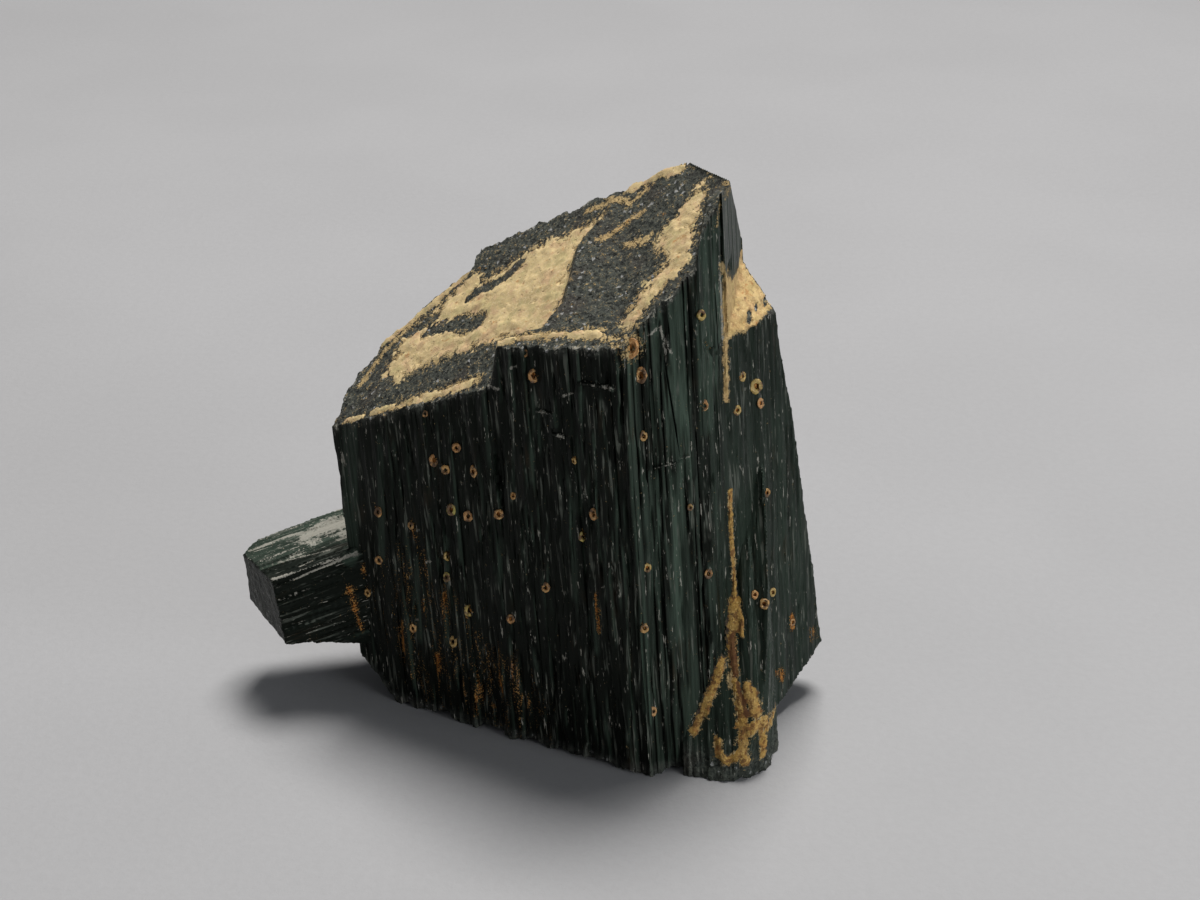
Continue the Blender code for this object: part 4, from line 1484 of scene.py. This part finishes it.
def crust(name, view, marks, rock, settings, lowest=0.0):
    """A crust of clay on the crystals: thickest inside its marks, and running out under their surface."""
    spacing = settings.grid / MM
    sheet = sheet_over(name, CRUST_SPAN[view], spacing)
    toward = VIEWS[view]["toward"]
    across, along = VIEWS[view]["axes"]
    flat = points_of(sheet)
    starts = np.zeros_like(flat)
    starts[:, across], starts[:, along] = flat[:, 0], flat[:, 1]
    starts -= np.array(toward) * REACH
    hits = [rock.ray_cast(Vector(start), toward)[0] for start in starts]
    found = np.array([hit is not None for hit in hits])
    landed = np.array([start if hit is None else tuple(hit) for hit, start in zip(hits, starts)])

    columns = int(np.sum(np.isclose(flat[:, 1], flat[0, 1])))
    depths = np.where(found, landed @ np.array(toward), REACH)
    even = filled(depths, columns)
    landed += np.outer(np.where(found, even - depths, 0.0), toward)
    slope = np.hypot(*np.gradient(even.reshape(-1, columns), spacing)).ravel()
    steepness = np.where(slope < CLIFF, np.minimum(np.hypot(slope, 1.0), CRUST_STEEPEST[view]), 1.0)
    rise = clay_rise(strength(flat[:, 0], flat[:, 1], **marks), landed, view)
    lift = rise * settings.thickness / MM * CRUST_THICKNESS[view] * steepness
    lifted = landed - np.outer(lift, toward)
    set_points(sheet, lifted)
    tone(sheet, "thin", smooth(*THIN_EDGE, rise))

    keep = found & (rise > CRUST_LOWEST) & (landed[:, 2] > lowest)
    edit_all(sheet)
    bpy.ops.mesh.select_all(action="DESELECT")
    bpy.ops.object.mode_set(mode="OBJECT")
    for face in sheet.data.polygons:
        corners = list(face.vertices)
        drop = [float(Vector(lifted[corner]).dot(toward)) for corner in corners]
        face.select = not keep[corners].all() or max(drop) - min(drop) > CRUST_DROP[view]
    bpy.ops.object.mode_set(mode="EDIT")
    bpy.ops.mesh.select_mode(type="FACE")
    bpy.ops.mesh.delete(type="FACE")
    bpy.ops.mesh.select_all(action="SELECT")
    bpy.ops.mesh.delete_loose()
    bpy.ops.object.mode_set(mode="OBJECT")
    thicken(sheet, tuple(toward * CRUST_BACK))

    low = smooth(DAMP_BELOW + 1.0, DAMP_BELOW, points_of(sheet)[:, 2])
    damp, damper = DAMP_FRONT
    tone(sheet, "damp", damp + damper * low if view == "front" else np.zeros(len(low)))
    tone(sheet, "rust", marked(sheet, "front", RUST_FRONT))
    return sheet


class ILVAITE_OT_clay(bpy.types.Operator):
    """Lay the clay crusts on the top, on the side crystal and down the groove"""

    bl_idname = "ilvaite.clay"
    bl_label = "Clay"

    def execute(self, context):
        settings = context.scene.ilvaite_crust
        rock = rock_surface()
        clay = clay_material(context.scene.ilvaite_colours)
        top = crust("clay_top", "plan", CLAY_ON_TOP, rock, settings, lowest=LOWEST_TOP)
        finish_piece(top, clay)
        side = crust("clay_side", "front", CLAY_ON_SIDE, rock, settings)
        finish_piece(side, clay)
        return {"FINISHED"}


def ring(place_at, normal, diameter, rng):
    """One small ring of limonite standing on the surface, a little oval and uneven."""
    deselect()
    tilt = Vector([rng.uniform(-RING_TILT, RING_TILT) for _ in range(3)])
    tilted = normal + RING_TURN * diameter + tilt
    turn = tilted.to_track_quat("Z", "Y").to_euler()
    bpy.ops.mesh.primitive_torus_add(
        major_segments=RING_SEGMENTS, minor_segments=RING_SIDES,
        major_radius=diameter * RING_MIDDLE, minor_radius=diameter * RING_HALF_WIDTH,
        location=place_at + tilted.normalized() * diameter * RING_LIFT, rotation=turn)
    made = bpy.context.object
    made.scale = [rng.uniform(*oval) for oval in RING_OVALS]
    bpy.ops.object.transform_apply(location=True, rotation=True, scale=True)
    relief(made, diameter, **LUMPS)
    tone(made, "olive", np.full(len(made.data.vertices), rng.random() ** OLIVE_RARENESS))
    return made


class ILVAITE_OT_limonite_rings(bpy.types.Operator):
    """Set the small limonite rings on the faces"""

    bl_idname = "ilvaite.limonite_rings"
    bl_label = "Limonite rings"

    def execute(self, context):
        rng = random.Random(SEED + 1)
        rock = rock_surface()
        diameter = context.scene.ilvaite_crust.ring_diameter / MM
        made = []
        for x, z, size in RINGS:
            hit, normal, _, _ = rock.ray_cast(Vector((x, -REACH, z)), Vector((0.0, 1.0, 0.0)))
            if hit is None:
                raise RuntimeError(f"no crystal under the ring at {x}, {z}")
            made.append(ring(hit, normal, diameter * size, rng))
        deselect()
        for piece in made:
            piece.select_set(True)
        bpy.context.view_layer.objects.active = made[0]
        bpy.ops.object.join()
        rings = bpy.context.object
        rings.name = "limonite_rings"
        finish_piece(rings, limonite_material())
        return {"FINISHED"}


# ---------------------------------------------------------------- the stage

CAMERA_PLACE = (-2.083, -83.888, 56.121)  # in millimetres from the front edge's foot
CAMERA_TILT = math.radians(64.0)
CAMERA_LENS = 72.0
CAMERA_SENSOR = 36.0
CAMERA_NEAREST = 5.0 * MM
CAMERA_FARTHEST = 5.0
FLOOR_SIZE = 900.0

# Soft lights: (name, place in millimetres from the front edge's foot, size, power, tint)
LIGHTS = (
    ("key", (30.0, 95.0, 345.0), 125.0, 1.6, (1.0, 0.98, 0.95)),
    ("fill_right", (260.0, -190.0, 60.0), 160.0, 0.55, (0.95, 0.98, 1.0)),
)
LIGHT_TARGET = (-4.0, 5.0, 10.0)
STUDIO_TINT = (0.92, 0.95, 1.0, 1.0)
STUDIO_STRENGTH = 0.11


def area_light(name, place_at, size, power, tint):
    """A square soft light aimed at the middle of the crystal."""
    origin = FOOT_PLACE + Vector(place_at) * MM
    aim = (FOOT_PLACE + Vector(LIGHT_TARGET) * MM) - origin
    deselect()
    bpy.ops.object.light_add(type="AREA", location=origin, rotation=aim.to_track_quat("-Z", "Y").to_euler())
    light = bpy.context.object
    light.name = name
    light.data.shape = "SQUARE"
    light.data.size = size * MM
    light.data.energy = power
    light.data.color = tint


class ILVAITE_OT_stage(bpy.types.Operator):
    """Set up the floor, the soft lights and the camera"""

    bl_idname = "ilvaite.stage"
    bl_label = "Stage"

    def execute(self, context):
        scene = context.scene
        deselect()
        bpy.ops.mesh.primitive_plane_add(size=1.0)
        floor = bpy.context.object
        floor.name = "floor"
        floor.data.transform(Matrix.Scale(FLOOR_SIZE * MM, 4))
        floor.data.materials.append(floor_material(scene.ilvaite_colours))

        for light in LIGHTS:
            area_light(*light)

        world = bpy.data.worlds.new("studio")
        world.use_nodes = True
        background = world.node_tree.nodes["Background"]
        background.inputs["Color"].default_value = STUDIO_TINT
        background.inputs["Strength"].default_value = STUDIO_STRENGTH
        scene.world = world
        scene.view_settings.view_transform = "Standard"

        camera_place = FOOT_PLACE + Vector(CAMERA_PLACE) * MM
        bpy.ops.object.camera_add(location=camera_place, rotation=(CAMERA_TILT, 0.0, 0.0))
        camera = context.object
        camera.name = "camera"
        camera.data.lens = CAMERA_LENS
        camera.data.sensor_width = CAMERA_SENSOR
        camera.data.clip_start = CAMERA_NEAREST
        camera.data.clip_end = CAMERA_FARTHEST
        scene.camera = camera
        return {"FINISHED"}


# ---------------------------------------------------------------- panel and registration

PIECE_OPERATORS = (
    ILVAITE_OT_main_crystal,
    ILVAITE_OT_side_crystal,
    ILVAITE_OT_foot,
    ILVAITE_OT_stub,
    ILVAITE_OT_clay,
    ILVAITE_OT_limonite_rings,
    ILVAITE_OT_stage,
)


class ILVAITE_PT_panel(bpy.types.Panel):
    """Settings and steps of the ilvaite crystal"""

    bl_idname = "ILVAITE_PT_panel"
    bl_label = "Ilvaite crystal"
    bl_space_type = "VIEW_3D"
    bl_region_type = "UI"
    bl_category = "Ilvaite"

    def draw(self, context):
        scene = context.scene
        for group in (scene.ilvaite_shape, scene.ilvaite_crust, scene.ilvaite_colours):
            box = self.layout.box()
            for name in group.__annotations__:
                box.prop(group, name)
        for operator in PIECE_OPERATORS:
            self.layout.operator(operator.bl_idname)


CLASSES = (IlvaiteShape, IlvaiteCrust, IlvaiteColours) + PIECE_OPERATORS + (ILVAITE_PT_panel,)


def register():
    for cls in CLASSES:
        bpy.utils.register_class(cls)
    bpy.types.Scene.ilvaite_shape = bpy.props.PointerProperty(type=IlvaiteShape)
    bpy.types.Scene.ilvaite_crust = bpy.props.PointerProperty(type=IlvaiteCrust)
    bpy.types.Scene.ilvaite_colours = bpy.props.PointerProperty(type=IlvaiteColours)


def unregister():
    del bpy.types.Scene.ilvaite_colours
    del bpy.types.Scene.ilvaite_crust
    del bpy.types.Scene.ilvaite_shape
    for cls in reversed(CLASSES):
        bpy.utils.unregister_class(cls)


def main():
    """Build every piece and the stage."""
    register()
    bpy.ops.ilvaite.main_crystal()
    bpy.ops.ilvaite.side_crystal()
    bpy.ops.ilvaite.foot()
    bpy.ops.ilvaite.stub()
    bpy.ops.ilvaite.clay()
    bpy.ops.ilvaite.limonite_rings()
    bpy.ops.ilvaite.stage()
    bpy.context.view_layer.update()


if __name__ == "__main__":
    main()
